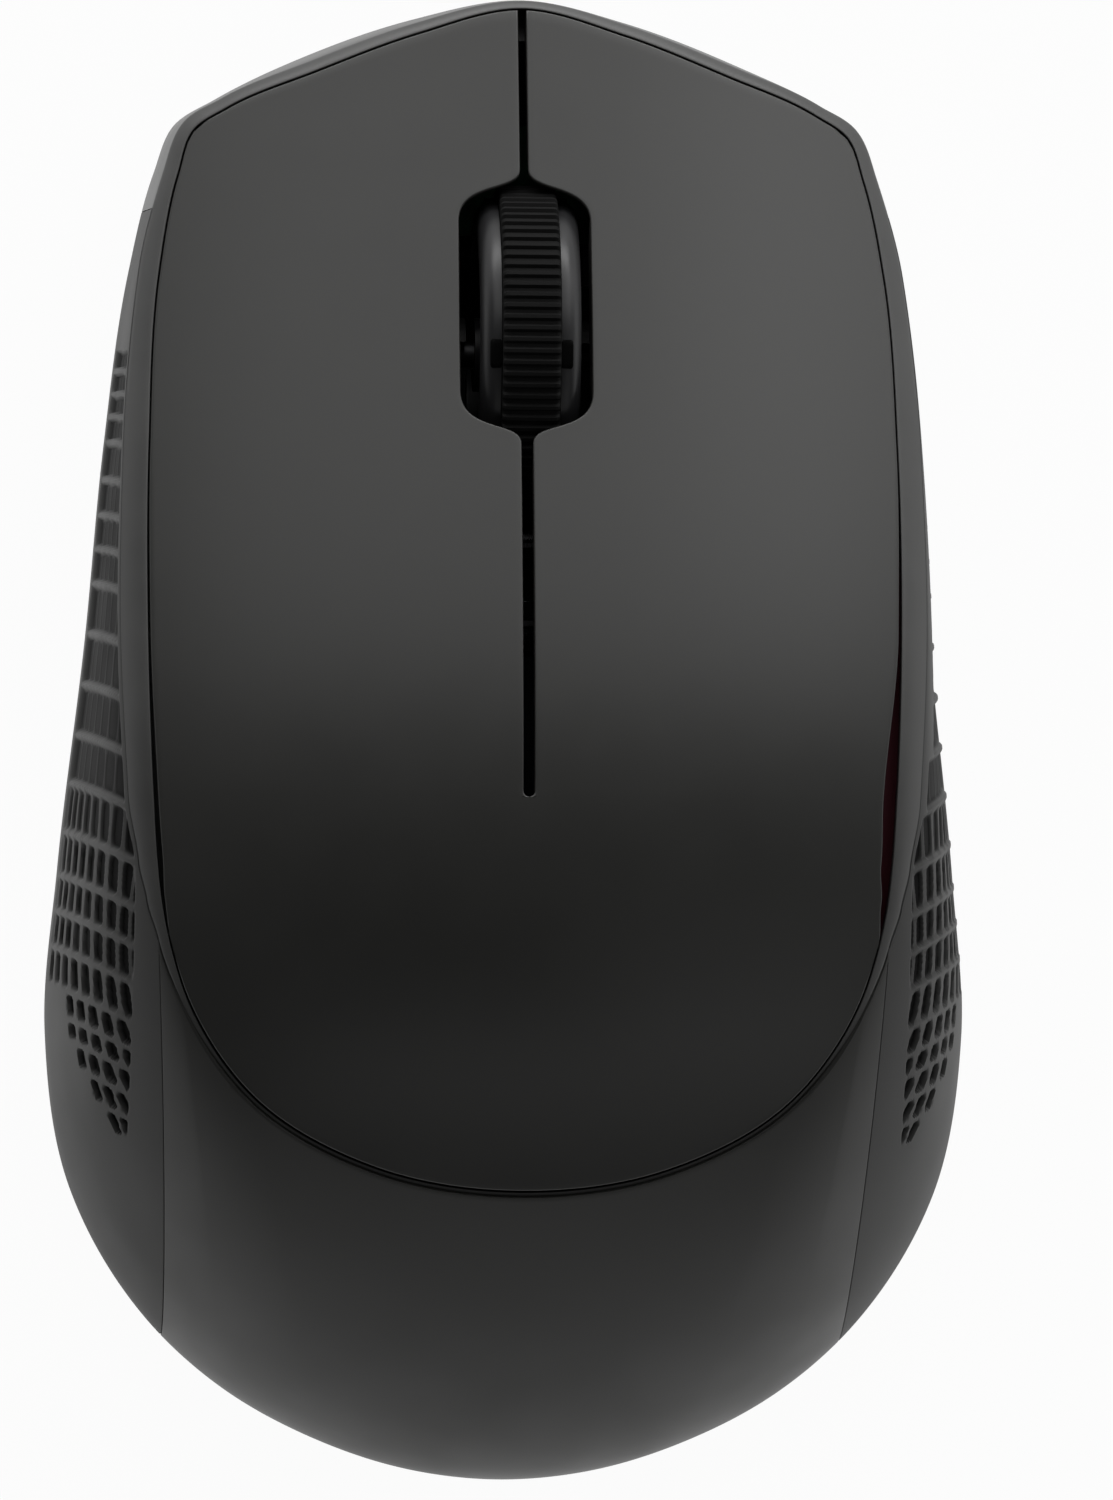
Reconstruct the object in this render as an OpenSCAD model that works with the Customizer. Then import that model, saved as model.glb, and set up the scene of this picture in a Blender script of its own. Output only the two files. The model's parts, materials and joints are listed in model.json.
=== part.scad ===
// Wireless computer mouse: shell, two buttons, scroll wheel, electronics, battery and receiver.
// Millimetres, Z up from the desk, +Y to the front of the mouse, origin under its middle.

/* [Body] */
// Overall length, front rim to tail
body_l = 105; // [98:0.5:114]
// Overall width at the widest place
body_w = 65.1; // [61:0.1:70]
// Height of the hump above the desk
body_h = 38; // [35:0.5:42]
// Distance of the hump behind the middle
hump_back = 10; // [4:0.5:16]
// Slope the back runs down to at the front
front_slope = 0.47; // [0.40:0.01:0.54]
// Length over which the hump turns into that slope
hump_soft = 20; // [14:0.5:28]
// Radius of the plate from side to side
crown_r = 72; // [60:1:120]
// Height of the widest line of the sides
widest_z = 7; // [5:0.5:10]
// Roll of the lower edge under the sides
under_roll = 0.9; // [0.5:0.1:1.0]

/* [Shell] */
// Thickness of the buttons, measured upright
plate_t = 1.8; // [1.4:0.1:2.2]
// Thickness of the palm cover, measured upright
palm_t = 2.75; // [2.2:0.05:2.8]
// Gap around the plate
plate_gap = 0.24; // [0.16:0.02:0.5]
// Thickness of the grips and the rear cover
cover_t = 1.4; // [1.0:0.1:1.6]
// Wall of the frame behind the covers
frame_t = 1.5; // [1.2:0.1:2.2]
// Width of the ledge under the plate
ledge_w = 2.2; // [1.5:0.1:3.5]
// Depth of the ledge below the plate's face
ledge_drop = 2.8; // [2.6:0.05:3.4]

/* [Buttons] */
// Distance of the bending line behind the middle
hinge_back = 4; // [2:0.5:6]
// Width of the slit behind the wheel
slit_rear_w = 0.8; // [0.5:0.05:1.2]
// Width of the slit before the wheel
slit_front_w = 0.56; // [0.4:0.02:1.0]
// Place of the click switches to each side of the slit
switch_side = 13.15; // [12.5:0.05:13.5]
// Place of the switch plungers ahead of the middle
switch_y = 39.5; // [39:0.1:40]

/* [Scroll wheel] */
// Radius over the tyre
wheel_r = 12; // [11:0.1:12.4]
// Width over the rims
wheel_w = 7.1; // [6.5:0.1:7.4]
// Width of the tyre
tyre_w = 4.1; // [3:0.1:5]
// Number of ribs on the tyre
tyre_ribs = 92; // [48:4:120]
// Axle ahead of the middle
wheel_y = 27.2; // [27:0.1:27.6]
// Axle height
wheel_z = 18.2; // [17.8:0.1:18.6]
// Width of the wheel well
well_w = 9.3; // [8.8:0.1:10]

/* [Battery] */
// Radius of the cell
cell_r = 7.25; // [7.1:0.05:7.25]
// Length of the cell without its button end
cell_l = 49.2; // [48.6:0.1:49.4]

/* [Hidden] */
// Small overlap that makes two shapes one
eps = 0.2;
// Hair's breadth between two pieces that touch
touch = 0.02;
// Gap between two pieces that stand on one another
seat = 0.05;
// How far a cut runs past the face it opens
through = 1;
$fn = 48;
// Stretch of the plan against the drawn one
plan_x = body_w / 65.1;
plan_y = body_l / 105;
hump_y = -hump_back;
hinge_y = -hinge_back;
// Floor of the base
floor_z = 0.7;
floor_t = 2;
floor_top = floor_z + floor_t;
floor_steps = 8;
// How far the floor's rim stays inside the rolled lower edge
floor_inset = 0.1;
// Lower end of the side walls, resting on the floor
wall_foot = floor_top + seat;

// Right half of the plate's edge in plan, from the front to the rear
plate_half = [[0, 51.7], [7.3, 49.9], [14.6, 47.1], [20.85, 44.3], [23.1, 42.5], [24.25, 39.8],
    [25.6, 33], [26.4, 20.5], [26.5, 8], [26.1, -4], [25.8, -8.6], [25.5, -11.3], [25, -13.9],
    [23.5, -18.6], [18.7, -25.4], [10.3, -30.1], [0, -31.7]];
// Right half of the widest line of the body, matched point by point to the plate's edge
body_half = [[0, 52.5], [7.2, 50.95], [14.9, 48.1], [21.25, 45.2], [24.1, 43.4], [25.5, 40],
    [27.2, 33], [28.85, 20.5], [30, 7], [31.8, -9.5], [32.55, -21], [30.7, -32], [24.1, -42.45],
    [19.6, -46.25], [13.4, -49.6], [6.6, -51.8], [0, -52.5]];
// Width of the frame's strip around the plate, and how far its outer edge rolls down
strip_w_half = [0.6, 0.75, 0.8, 0.8, 0.9, 1, 1.4, 1.75, 1.9, 1.75, 1.3, 1, 0.72, 0.45, 0.4, 0.4,
    0.4];
strip_drop_half = [0.3, 0.35, 0.4, 0.4, 0.4, 0.45, 0.6, 0.7, 0.7, 0.6, 0.4, 0.25, 0.15, 0.06, 0.05, 0.05,
    0.05];
// How much wider than elsewhere the gap around the plate is, beside the hump
gap_more_half = [0, 0, 0, 0, 0, 0, 0, 0, 0.06, 0.36, 0.51, 0.26, 0, 0, 0, 0, 0];
// How far down the section the inner faces start, lower where its upper roll is tight
inner_top_half = [0.13, 0.13, 0.13, 0.13, 0.13, 0.13, 0.13, 0.12, 0.1, 0.02, 0.004, 0.004, 0.004, 0.004,
    0.004, 0.004, 0.004];
plate_edge = both_sides(stretched(plate_half));
body_edge = both_sides(stretched(body_half));
strip_w = mirrored_list(strip_w_half);
strip_drop = mirrored_list(strip_drop_half);
gap_more = mirrored_list(gap_more_half);
inner_top = mirrored_list(inner_top_half);
// Places along the edge: the bending line, the front corners and the ends of the grips
stations = len(plate_edge);
right_hinge_u = 9;
left_hinge_u = stations - right_hinge_u;
right_corner_u = 3.6;
left_corner_u = stations - right_corner_u;
grip_front_u = 5.4;
right_seam_u = 12;
left_seam_u = stations - right_seam_u;
// Pull of the wall's section towards the plate and towards the widest line
wall_full = 0.5;
wall_rise = 0.3;
// End of the rolled part of the section, past the widest line
roll_end = 1.3;
roll_turn = 80;
cover_gap = 0.1;
// Distance of a cover's outer and inner face from the seam, in places along the edge
seam_u = 0.02;
under_u = 0.12;
// Thickest that the web under the strip is
web_out = 0.5;
// Step along a curve or a face over which its direction is taken
probe = 0.02;
// Levels down the section: the frame's outer and inner faces, and the covers
frame_levels = [0.28, 0.46, 0.64, 0.82, 1, 1.1, 1.2];
back_levels = [1, 0.8, 0.62, 0.46, 0.34];
cover_levels = [0.25, 0.37, 0.5, 0.64, 0.78, 0.9, 1, 1.1, 1.2];
// Level of a cover's upper edge, and the step from there to the next level
cover_top = 0.004;
top_step = 0.09;
ledge_t = 1.4;
// Sections of the frame to one place along the edge, and half of the step at the covers' ends
frame_steps = 3;
step_u = 0.01;
// Columns of the covers, and rows and columns of the plate
rear_cols = 26;
grip_cols = 20;
button_cols = 9;
palm_rows = 7;
palm_cols = 24;
// Length of one place along the front edge
front_place = 7;
// Places along the well's edge from the rear: slit, bend, side of the wheel, bend, slit
slit_rear_y = [4, 13];
bend_rear_y = [20.9, 22.6, 21.6, 24.6];
well_side_y = [28, 33];
bend_front_y = [36.6, 39.4, 38.6, 40.3];
slit_front_y = [44, 48];
bend_steps = 7;
// Post under each button
button_post_r = 1.4;
// Posts for the screws
standoff_r = 2.2;
standoff_sole = 0.6;
boss_r = 2.6;
boss_h = 9;

// Circuit board
board_z = 7.6;
board_t = 1.2;
board_top = board_z + board_t;
board_rear = 9.9;
board_front = 43.6;
board_side = 20.5;
board_corner = [16.2, 37];
wheel_hole_l = 17.2;
sensor_hole_r = 2.7;
// Middles of the small pieces on the board
controller_at = [-14, 20];
crystal_at = [-14.6, 26.6];
capacitor_at = [17, 17.8];
inductor_at = [17, 12.8];
controller_size = [5, 6.4, 1.5];
leads_size = [7.4, 5.6, 0.3];
crystal_size = [9, 3.8, 3];
capacitor_r = 2.5;
capacitor_h = 6;
inductor_r = 2.3;
inductor_core_r = 1.5;
inductor_h = 3.3;
inductor_rim = 0.7;
standoffs = [[-16, 12.5], [18, 24.5]];
bosses = [[-24.4, 21.5], [24.4, 21.5]];
// Tilting fork that carries the wheel
fork_y = 14;
fork_z = 15;
fork_arm_t = 1.2;
fork_gap = 0.35;
fork_pin_r = 1.1;
axle_r = 1;
snap_w = 1.8;
arm_in = wheel_w / 2 + fork_gap;
arm_out = arm_in + fork_arm_t;
tab_y = 27.5;
tab_z = 13.4;
tab_l = 5.4;
tab_half = 2;
tab_t = 1.5;
post_gap = 0.35;
post_w = 3;
post_half = 2.2;
pin_short = 0.3;
// Eyes of the fork's arms, and the corners of the arm from each eye's middle
pivot_eye_r = 2.2;
axle_eye_r = 2.6;
arm_pivot = [0.4, 2.1];
arm_top = [-0.6, 2.5];
arm_low = [2, -1.6];
// Bar between the arms, from the pivot
bridge_low = [-2, -1];
bridge_high = [-0.4, 1.6];
// Spring under the left tab
tab_spring_r = 1.5;
tab_spring_turns = 5;
tab_spring_wire = 0.2;
// Leaf spring on that bar, and its nose
leaf_half = 2;
leaf_from = 0.35;
leaf_to = 0.05;
leaf_below = 0.6;
leaf_above = 0.5;
nose_half = 1.6;
nose_r = 0.55;
nose_gap = 0.2;
// Rim and tyre
groove_r = 10;
flange_r = 11;
web_r = 8.8;
web_half = 0.8;
hub_r = 2.6;
// Flat, slope and lip of each rim
rim_flat = 1;
rim_slope = [0.3, 0.35];
rim_lip = 0.5;
slot_n = 24;
slot_at = 7.4;
slot_size = [1.8, 0.95, 4];
lug_n = 4;
lug_l = 2.4;
lug_w = tyre_w + 1.7;
lug_h = flange_r + 0.1 - groove_r;
// Corners of one rib and the gap after it, and their depth
rib_corners = 4;
rib_depth = 0.3;
// Clearance under the buttons, and how far they come down over the wheel
room_gap = 0.3;
key_drop = 0.65;
// Click switches
case_w = 5.8;
case_l = 12.8;
case_h = 6.5;
case_mid_y = 37;
case_top = board_top + case_h;
plunger_r = 0.9;
plunger_l = 2;
plunger_gap = 0.06;
plunger_top = case_top + 0.75;
plunger_hole = 2.2;
rest_gap = 0.08;
left_switch_x = -switch_side;
right_switch_x = switch_side;
// Middle switch under the fork's right tab
middle_x = arm_out + 3.4;
middle_w = 6;
middle_h = 3.4;
middle_r = 1.6;
middle_l = 1.8;
middle_hole = 1.6;
// Optical encoder
encoder_y = 33.7;
encoder_w = 3;
encoder_d = 2.4;
encoder_h = 6.6;
encoder_side = 5.8;
encoder_eye_z = 4.9;
encoder_eye_r = 0.75;
// Sensor and lens
sensor_y = 13.75;
sensor_w = 9.6;
sensor_l = 6;
sensor_h = 2.5;
lens_l = 8.8;
lens_w = 6.4;
lens_flange = [10.4, 7.4, 1];
lens_gap = 0.4;
// Battery bay
cell_z = floor_top + cell_r + 0.45;
cell_rear = -43.3;
cell_front = cell_rear + cell_l;
nub_r = 2.75;
nub_l = 1.3;
bay_wall_t = 1;
bay_side = cell_r + 0.5;
bay_end_w = 16;
bay_rear_top = 11.5;
bay_front_w = 20.8;
bay_front_top = 14.5;
// How far the bay's side walls stop short of the cell: behind, before and above
bay_short_rear = 4;
bay_short_front = 1;
bay_short_top = 1;
contact_t = 0.4;
contact_w = 9.6;
contact_h = 9.6;
contact_gap = 0.05;
spring_end = 8.1;
spring_wire = 0.3;
spring_foot_r = 4.2;
spring_tip_r = 2.6;
spring_turns = 3;
// Battery door in its dovetail channel
door_front = 7;
door_w = 17.6;
tongue_w = 20;
door_gap = 0.2;
channel_lip = 0.9;
channel_t = 0.8;
bay_open_w = 15.4;
door_z = floor_z + 0.1;
door_t = floor_t - 0.3;
// Ridges for the finger on the door
door_ribs = 6;
door_rib_y = -9;
door_rib_pitch = 1.8;
door_rib_size = [9.6, 0.8, 0.35];
// Receiver and its pocket
receiver_x = -19.2;
receiver_rear = -28;
receiver_w = 14.4;
receiver_cap_l = 6.2;
receiver_h = 6.2;
receiver_z = 1.2;
plug_w = 12;
plug_l = 12.6;
plug_h = 4.5;
plug_t = 0.35;
plug_in = 3;
plug_z = receiver_z + (receiver_h - plug_h) / 2;
plug_end = receiver_rear + receiver_cap_l + plug_l;
pocket_gap = 0.3;
pocket_wall = 1;
// Power switch
power_x = 14;
power_y = 14;
knob_w = 3.4;
knob_l = 4.4;
knob_travel = 3;
knob_gap = 0.3;
knob_sink = 0.5;
// Flange that keeps the knob in, and the stem that moves the switch
knob_flange = [5.2, 6.4, 1.1];
knob_stem = [1.4, 2];
knob_stem_top = 5.8;
power_case = [5.2, 10];
power_case_z = 4.3;
power_slot = [2, 6];
power_slot_top = 6.3;
// Slick feet
front_foot_y = 43.2;
rear_foot_at = [18.4, -37.6];
rear_foot_turn = 38;
front_foot_l = 27;
rear_foot_l = 14;
foot_w = 4.6;
// Screws
case_screw_r = 0.9;
case_screw_l = 7;
board_screw_r = 0.8;
board_screw_l = 5;
head_r = 1.9;
head_sink = 1;
screw_gap = 0.3;
case_head_h = 0.85;
board_head_h = 1;
drive_l = 1.1 * head_r;
drive_w = 0.45;

// Plan points stretched to the wanted length and width
function stretched(c) = [for (p = c) [p.x * plan_x, p.y * plan_y]];
// Closed curve, clockwise seen from above, from its right half
function both_sides(c) = concat(c, [for (i = [len(c) - 2:-1:1]) [-c[i].x, c[i].y]]);
function mirrored_list(v) = concat(v, [for (i = [len(v) - 2:-1:1]) v[i]]);

function unit(v) = v / norm(v);
function wrapped(i, n) = (i % n + n) % n;
function flat(rows) = [for (r = rows) each r];

// Direction of a closed curve at one of its points, weighted by the two chords that meet there
function knot_slope(c, i) = let (
    n = len(c),
    a = c[wrapped(i - 1, n)],
    b = c[wrapped(i, n)],
    d = c[wrapped(i + 1, n)],
    l0 = norm(b - a),
    l1 = norm(d - b)
) ((b - a) * l1 / l0 + (d - b) * l0 / l1) / (l0 + l1);

// Point u places along a closed curve
function on_curve(c, u) = let (
    n = len(c),
    i = floor(u),
    f = u - i,
    a = c[wrapped(i, n)],
    b = c[wrapped(i + 1, n)],
    l = norm(b - a)
) a * (2 * f ^ 3 - 3 * f ^ 2 + 1) + knot_slope(c, i) * l * (f ^ 3 - 2 * f ^ 2 + f)
    + b * (3 * f ^ 2 - 2 * f ^ 3) + knot_slope(c, i + 1) * l * (f ^ 3 - f ^ 2);

// Value u places along a closed list of numbers, eased from one to the next
function on_list(v, u) = let (
    n = len(v),
    i = floor(u),
    f = u - i,
    s = f * f * (3 - 2 * f)
) v[wrapped(i, n)] * (1 - s) + v[wrapped(i + 1, n)] * s;

// Level direction that points out of a clockwise curve
function outward(c, u) = let (
    t = unit(on_curve(c, u + probe) - on_curve(c, u - probe))
) [-t.y, t.x];

// Height of the hump along the middle, and its slope
function spine(y) = let (d = y - hump_y) d > 0
    ? body_h - front_slope * (sqrt(hump_soft ^ 2 + d ^ 2) - hump_soft)
    : body_h - d ^ 2 * front_slope / (2 * hump_soft);
function spine_slope(y) = let (d = y - hump_y) d > 0
    ? -front_slope * d / sqrt(hump_soft ^ 2 + d ^ 2)
    : -d * front_slope / hump_soft;

// Height and slopes of the plate's face
function crown(p) = spine(p.y) - p.x ^ 2 / (2 * crown_r);
function crown_slope(p) = [-p.x / crown_r, spine_slope(p.y)];
function lifted(p, drop = 0) = [p.x, p.y, crown(p) - drop];

// Point of the frame's strip, e outwards from the plate's edge
function strip_at(u, e) = let (
    p = on_curve(plate_edge, u) + e * outward(plate_edge, u),
    part = max(e, 0) / on_list(strip_w, u)
) lifted(p, on_list(strip_drop, u) * part ^ 2);

function bezier(a, b, c, d, t) = a * (1 - t) ^ 3 + b * 3 * t * (1 - t) ^ 2
    + c * 3 * t ^ 2 * (1 - t) + d * t ^ 3;

// How far the lower roll has turned under at t past the widest line
function roll_in(t) = under_roll * (1 - cos(roll_turn * (t - 1) / (roll_end - 1)));
function roll_z(t) = widest_z - (widest_z - wall_foot) * sin(roll_turn * (t - 1) / (roll_end - 1))
    / sin(roll_turn);

// Outer face of the body below the strip: t runs from the strip (0) to the widest line (1) and under
function side_at(u, t) = let (s = on_curve(body_edge, u)) t > 1
    ? let (p = s - outward(body_edge, u) * roll_in(t)) [p.x, p.y, roll_z(t)]
    : let (
        w = on_list(strip_w, u),
        n = outward(plate_edge, u),
        q = strip_at(u, w),
        along = [s.x - q.x, s.y - q.y],
        d = unit(along),
        fall = crown_slope(q) * d - 2 * on_list(strip_drop, u) / w * (n * d),
        reach = wall_full * norm(along),
        low = [s.x, s.y, widest_z]
    ) bezier(q, q + reach * [d.x, d.y, fall], low + [0, 0, wall_rise * (q.z - widest_z)], low, t);

// The same face moved inwards by a depth; below the widest line the inner faces drop straight
function side_in(u, t, depth) = t > 1
    ? let (p = on_curve(body_edge, u) - outward(body_edge, u) * max(depth, roll_in(t)))
        [p.x, p.y, roll_z(t)]
    : let (
        a = side_at(u + probe, t) - side_at(u - probe, t),
        b = side_at(u, min(t + probe, 1)) - side_at(u, max(t - probe, 0))
    ) side_at(u, t) - depth * unit(cross(a, b));

// How far outside the plate's edge the web under the strip stands
function web(u) = min(web_out, on_list(strip_w, u) - seat);

// Point moved level outwards until it is at least a distance outside the plate's edge
function kept_out(p, u, least) = let (
    n = outward(plate_edge, u),
    more = max(0, least - ([p.x, p.y] - on_curve(plate_edge, u)) * n)
) p + more * [n.x, n.y, 0];

// Edge of the wheel well and slit on one side (-1 left, 1 right), from the bending line to the front
function well_edge(side) = let (
    rear = side * slit_rear_w / 2,
    front = side * slit_front_w / 2,
    wall = side * well_w / 2,
    a = bend_rear_y,
    b = bend_front_y,
    steps = [for (i = [0:bend_steps]) i / bend_steps]
) concat(
    [for (y = concat([hinge_y + plate_gap / 2], slit_rear_y)) [rear, y]],
    [for (t = steps) bezier([rear, a[0]], [rear, a[1]], [wall, a[2]], [wall, a[3]], t)],
    [for (y = well_side_y) [wall, y]],
    [for (t = steps) bezier([wall, b[0]], [wall, b[1]], [front, b[2]], [front, b[3]], t)],
    [for (y = slit_front_y) [front, y]]
);

// Plate's own rim, inside its edge by half the gap and all of the gap's widening
function plate_rim(u) = on_curve(plate_edge, u)
    - (plate_gap / 2 + on_list(gap_more, u)) * outward(plate_edge, u);

// Patch stretched between two ends and two sides
function patch_at(a0, a1, b0, b1, corners, u, v) = (1 - v) * a0 + v * a1 + (1 - u) * b0 + u * b1
    - (1 - u) * (1 - v) * corners[0] - u * (1 - v) * corners[1]
    - (1 - u) * v * corners[2] - u * v * corners[3];

// Plan grid of one button: rows from the bending line to the front, from the slit to the side
function button_grid(side) = let (
    turn = side < 0 ? stations : 0,
    tip_u = turn + side * slit_front_w / (2 * front_place),
    corner_u = side < 0 ? left_corner_u : right_corner_u,
    hinge_u = side < 0 ? left_hinge_u : right_hinge_u,
    tip = plate_rim(tip_u),
    corner = plate_rim(corner_u),
    root = [plate_rim(hinge_u).x, hinge_y + plate_gap / 2],
    inner = concat(well_edge(side), [[side * slit_front_w / 2, tip.y]]),
    last = inner[len(inner) - 1],
    corners = [inner[0], root, last, corner]
) [for (p = inner) let (v = (p.y - inner[0].y) / (last.y - inner[0].y)) [for (k = [0:button_cols]) let (
    u = k / button_cols,
    end_u = tip_u + u * (corner_u - tip_u),
    side_u = hinge_u + v * (corner_u - hinge_u),
    front = k == 0 ? last : plate_rim(end_u),
    outer = v == 0 ? root : plate_rim(side_u)
) patch_at(inner[0] + u * (root - inner[0]), front, p, outer, corners, u, v)]];

// Plan grid of the palm cover, from the bending line to its rear edge
function palm_grid() = let (
    left = [plate_rim(left_hinge_u).x, hinge_y - plate_gap / 2],
    right = [plate_rim(right_hinge_u).x, hinge_y - plate_gap / 2],
    corners = [left, right, plate_rim(left_seam_u), plate_rim(right_seam_u)]
) [for (k = [0:palm_rows]) let (v = k / palm_rows) [for (j = [0:palm_cols]) let (
    u = j / palm_cols,
    side_l = k == 0 ? left : plate_rim(left_hinge_u + v * (left_seam_u - left_hinge_u)),
    side_r = k == 0 ? right : plate_rim(right_hinge_u + v * (right_seam_u - right_hinge_u)),
    rear = plate_rim(left_seam_u + u * (right_seam_u - left_seam_u))
) patch_at(left + u * (right - left), rear, side_l, side_r, corners, u, v)]];

// Whether a place along the edge is behind a grip or the rear cover
function covered(u) = u > grip_front_u && u < stations - grip_front_u;

// Section of the frame at one place: strip, outer wall, inner wall and the ledge under the plate
function frame_loop(u) = let (
    depth = covered(u) ? cover_t + cover_gap : touch,
    top = covered(u) ? on_list(inner_top, u) : 0,
    back = depth + frame_t,
    w = on_list(strip_w, u),
    foot = on_curve(body_edge, u) - outward(body_edge, u) * back
) concat(
    [strip_at(u, plate_gap / 2), strip_at(u, w / 2), strip_at(u, w - seat)],
    [for (t = concat([top, top + top_step], frame_levels, [roll_end]))
        kept_out(side_in(u, t, depth), u, web(u))],
    [[foot.x, foot.y, wall_foot]],
    [for (t = back_levels) side_in(u, t, back)],
    [strip_at(u, -ledge_w) - [0, 0, ledge_drop + ledge_t], strip_at(u, -ledge_w) - [0, 0, ledge_drop],
        strip_at(u, plate_gap / 2) - [0, 0, ledge_drop]]
);

// Places where the frame's section is taken, with a sharp step at the ends of the covers
frame_near = floor(grip_front_u * frame_steps);
frame_all = stations * frame_steps;
frame_u = concat(
    [for (k = [0:frame_near - 1]) k / frame_steps],
    [grip_front_u - step_u, grip_front_u + step_u],
    [for (k = [frame_near + 1:frame_all - frame_near - 1]) k / frame_steps],
    [stations - grip_front_u - step_u, stations - grip_front_u + step_u],
    [for (k = [frame_all - frame_near + 1:frame_all - 1]) k / frame_steps]
);

// Outer grid of a cover between two places along the edge
function cover_grid(from, to, n, depth) = [for (k = [0:n]) let (u = from + (to - from) * k / n)
    let (top = depth > 0 ? on_list(inner_top, u) : cover_top)
    [for (t = concat([top, top + top_step], cover_levels, [roll_end]))
        kept_out(side_in(u, t, depth), u, web(u) + cover_gap)]];

// Triangles of a grid of points, numbered from a start
function grid_faces(rows, cols, start, turned) = [for (i = [0:rows - 2]) for (j = [0:cols - 2]) let (
    a = start + i * cols + j,
    b = a + 1,
    c = b + cols,
    d = a + cols
) each turned ? [[a, c, b], [a, d, c]] : [[a, b, c], [a, c, d]]];

// Numbers around the border of a grid
function border(rows, cols) = concat(
    [for (j = [0:cols - 1]) j],
    [for (i = [1:rows - 1]) i * cols + cols - 1],
    [for (j = [cols - 2:-1:0]) (rows - 1) * cols + j],
    [for (i = [rows - 2:-1:1]) i * cols]
);

// Solid between two grids of the same size
module slab(upper, lower, turned = false) {
    rows = len(upper);
    cols = len(upper[0]);
    n = rows * cols;
    rim = border(rows, cols);
    sides = [for (k = [0:len(rim) - 1]) let (
        a = rim[k],
        b = rim[(k + 1) % len(rim)]
    ) each turned ? [[a, b, b + n], [a, b + n, a + n]] : [[a, b + n, b], [a, a + n, b + n]]];
    polyhedron(concat(flat(upper), flat(lower)), concat(
        grid_faces(rows, cols, 0, turned),
        grid_faces(rows, cols, n, !turned),
        sides
    ));
}

// Solid ring swept through closed sections
module ring(loops) {
    n = len(loops);
    m = len(loops[0]);
    polyhedron(flat(loops), [for (i = [0:n - 1]) for (j = [0:m - 1]) let (
        a = i * m + j,
        b = i * m + (j + 1) % m,
        c = ((i + 1) % n) * m + (j + 1) % m,
        d = ((i + 1) % n) * m + j
    ) each [[a, b, c], [a, c, d]]]);
}

// Coil of round wire between two radii, along Z from 0 to its height
module coil(r0, r1, height, turns, wire) {
    sides = 6;
    turn_steps = 14;
    steps = turns * turn_steps;
    loops = [for (k = [0:steps]) let (
        f = k / steps,
        a = 360 * turns * f,
        r = r0 + (r1 - r0) * f,
        z = wire + (height - 2 * wire) * f
    ) [for (j = [0:sides - 1]) let (b = 360 * j / sides)
        [(r + wire * cos(b)) * cos(a), (r + wire * cos(b)) * sin(a), z + wire * sin(b)]]];
    last = steps * sides;
    polyhedron(flat(loops), concat(
        [for (i = [0:steps - 1]) for (j = [0:sides - 1]) let (
            a = i * sides + j,
            b = i * sides + (j + 1) % sides,
            c = b + sides,
            d = a + sides
        ) each [[a, b, c], [a, c, d]]],
        [for (j = [1:sides - 2]) [0, j + 1, j]],
        [for (j = [1:sides - 2]) [last, last + j, last + j + 1]]
    ));
}

// Block from its low corner to its high corner
module block(low, high) {
    translate(low)
        cube(high - low);
}

// Round bar along X between two places
module bar_x(x0, x1, y, z, r) {
    translate([x0, y, z])
        rotate([0, 90, 0])
            cylinder(r = r, h = x1 - x0);
}

// Flat oval of a length and width, as tall as h
module oval(l, w, h) {
    linear_extrude(h) {
        square([l - w, w], center = true);
        for (s = [-1, 1])
            translate([s * (l - w) / 2, 0])
                circle(d = w);
    }
}

// Outline of the floor in plan, inside the rolled lower edge
module floor_outline(inset) {
    polygon([for (k = [0:stations * floor_steps - 1]) let (u = k / floor_steps)
        on_curve(body_edge, u) - outward(body_edge, u) * inset]);
}

// Channel that the battery door slides in: narrow mouth, wide slot
module door_channel(grow, rear) {
    mouth = door_w / 2 + grow;
    slot = tongue_w / 2 + grow;
    block([-mouth, rear, floor_z - eps], [mouth, door_front + grow, floor_z + channel_lip + eps]);
    block([-slot, rear, floor_z + channel_lip - grow],
        [slot, door_front + grow, floor_z + channel_lip + channel_t]);
}

module base_floor() {
    difference() {
        translate([0, 0, floor_z])
            linear_extrude(floor_t)
                floor_outline(roll_in(roll_end) + floor_inset);
        door_channel(door_gap, -body_l);
        block([-bay_open_w / 2, cell_rear - nub_l, 0],
            [bay_open_w / 2, door_front, floor_top + through]);
        block([receiver_x - receiver_w / 2 - pocket_gap, receiver_rear - pocket_gap, 0],
            [receiver_x + receiver_w / 2 + pocket_gap, plug_end + pocket_gap, floor_top + through]);
        translate([0, sensor_y, 0])
            oval(lens_l + lens_gap, lens_w + lens_gap, floor_top + through);
        block([power_x - knob_w / 2 - knob_gap, power_y - (knob_l + knob_travel) / 2 - knob_gap, 0],
            [power_x + knob_w / 2 + knob_gap, power_y + (knob_l + knob_travel) / 2 + knob_gap,
                floor_top + through]);
        for (p = bosses)
            translate([p.x, p.y, 0]) {
                cylinder(r = case_screw_r + screw_gap, h = floor_top + through);
                cylinder(r = head_r + screw_gap, h = floor_z + head_sink);
            }
    }
}

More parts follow.
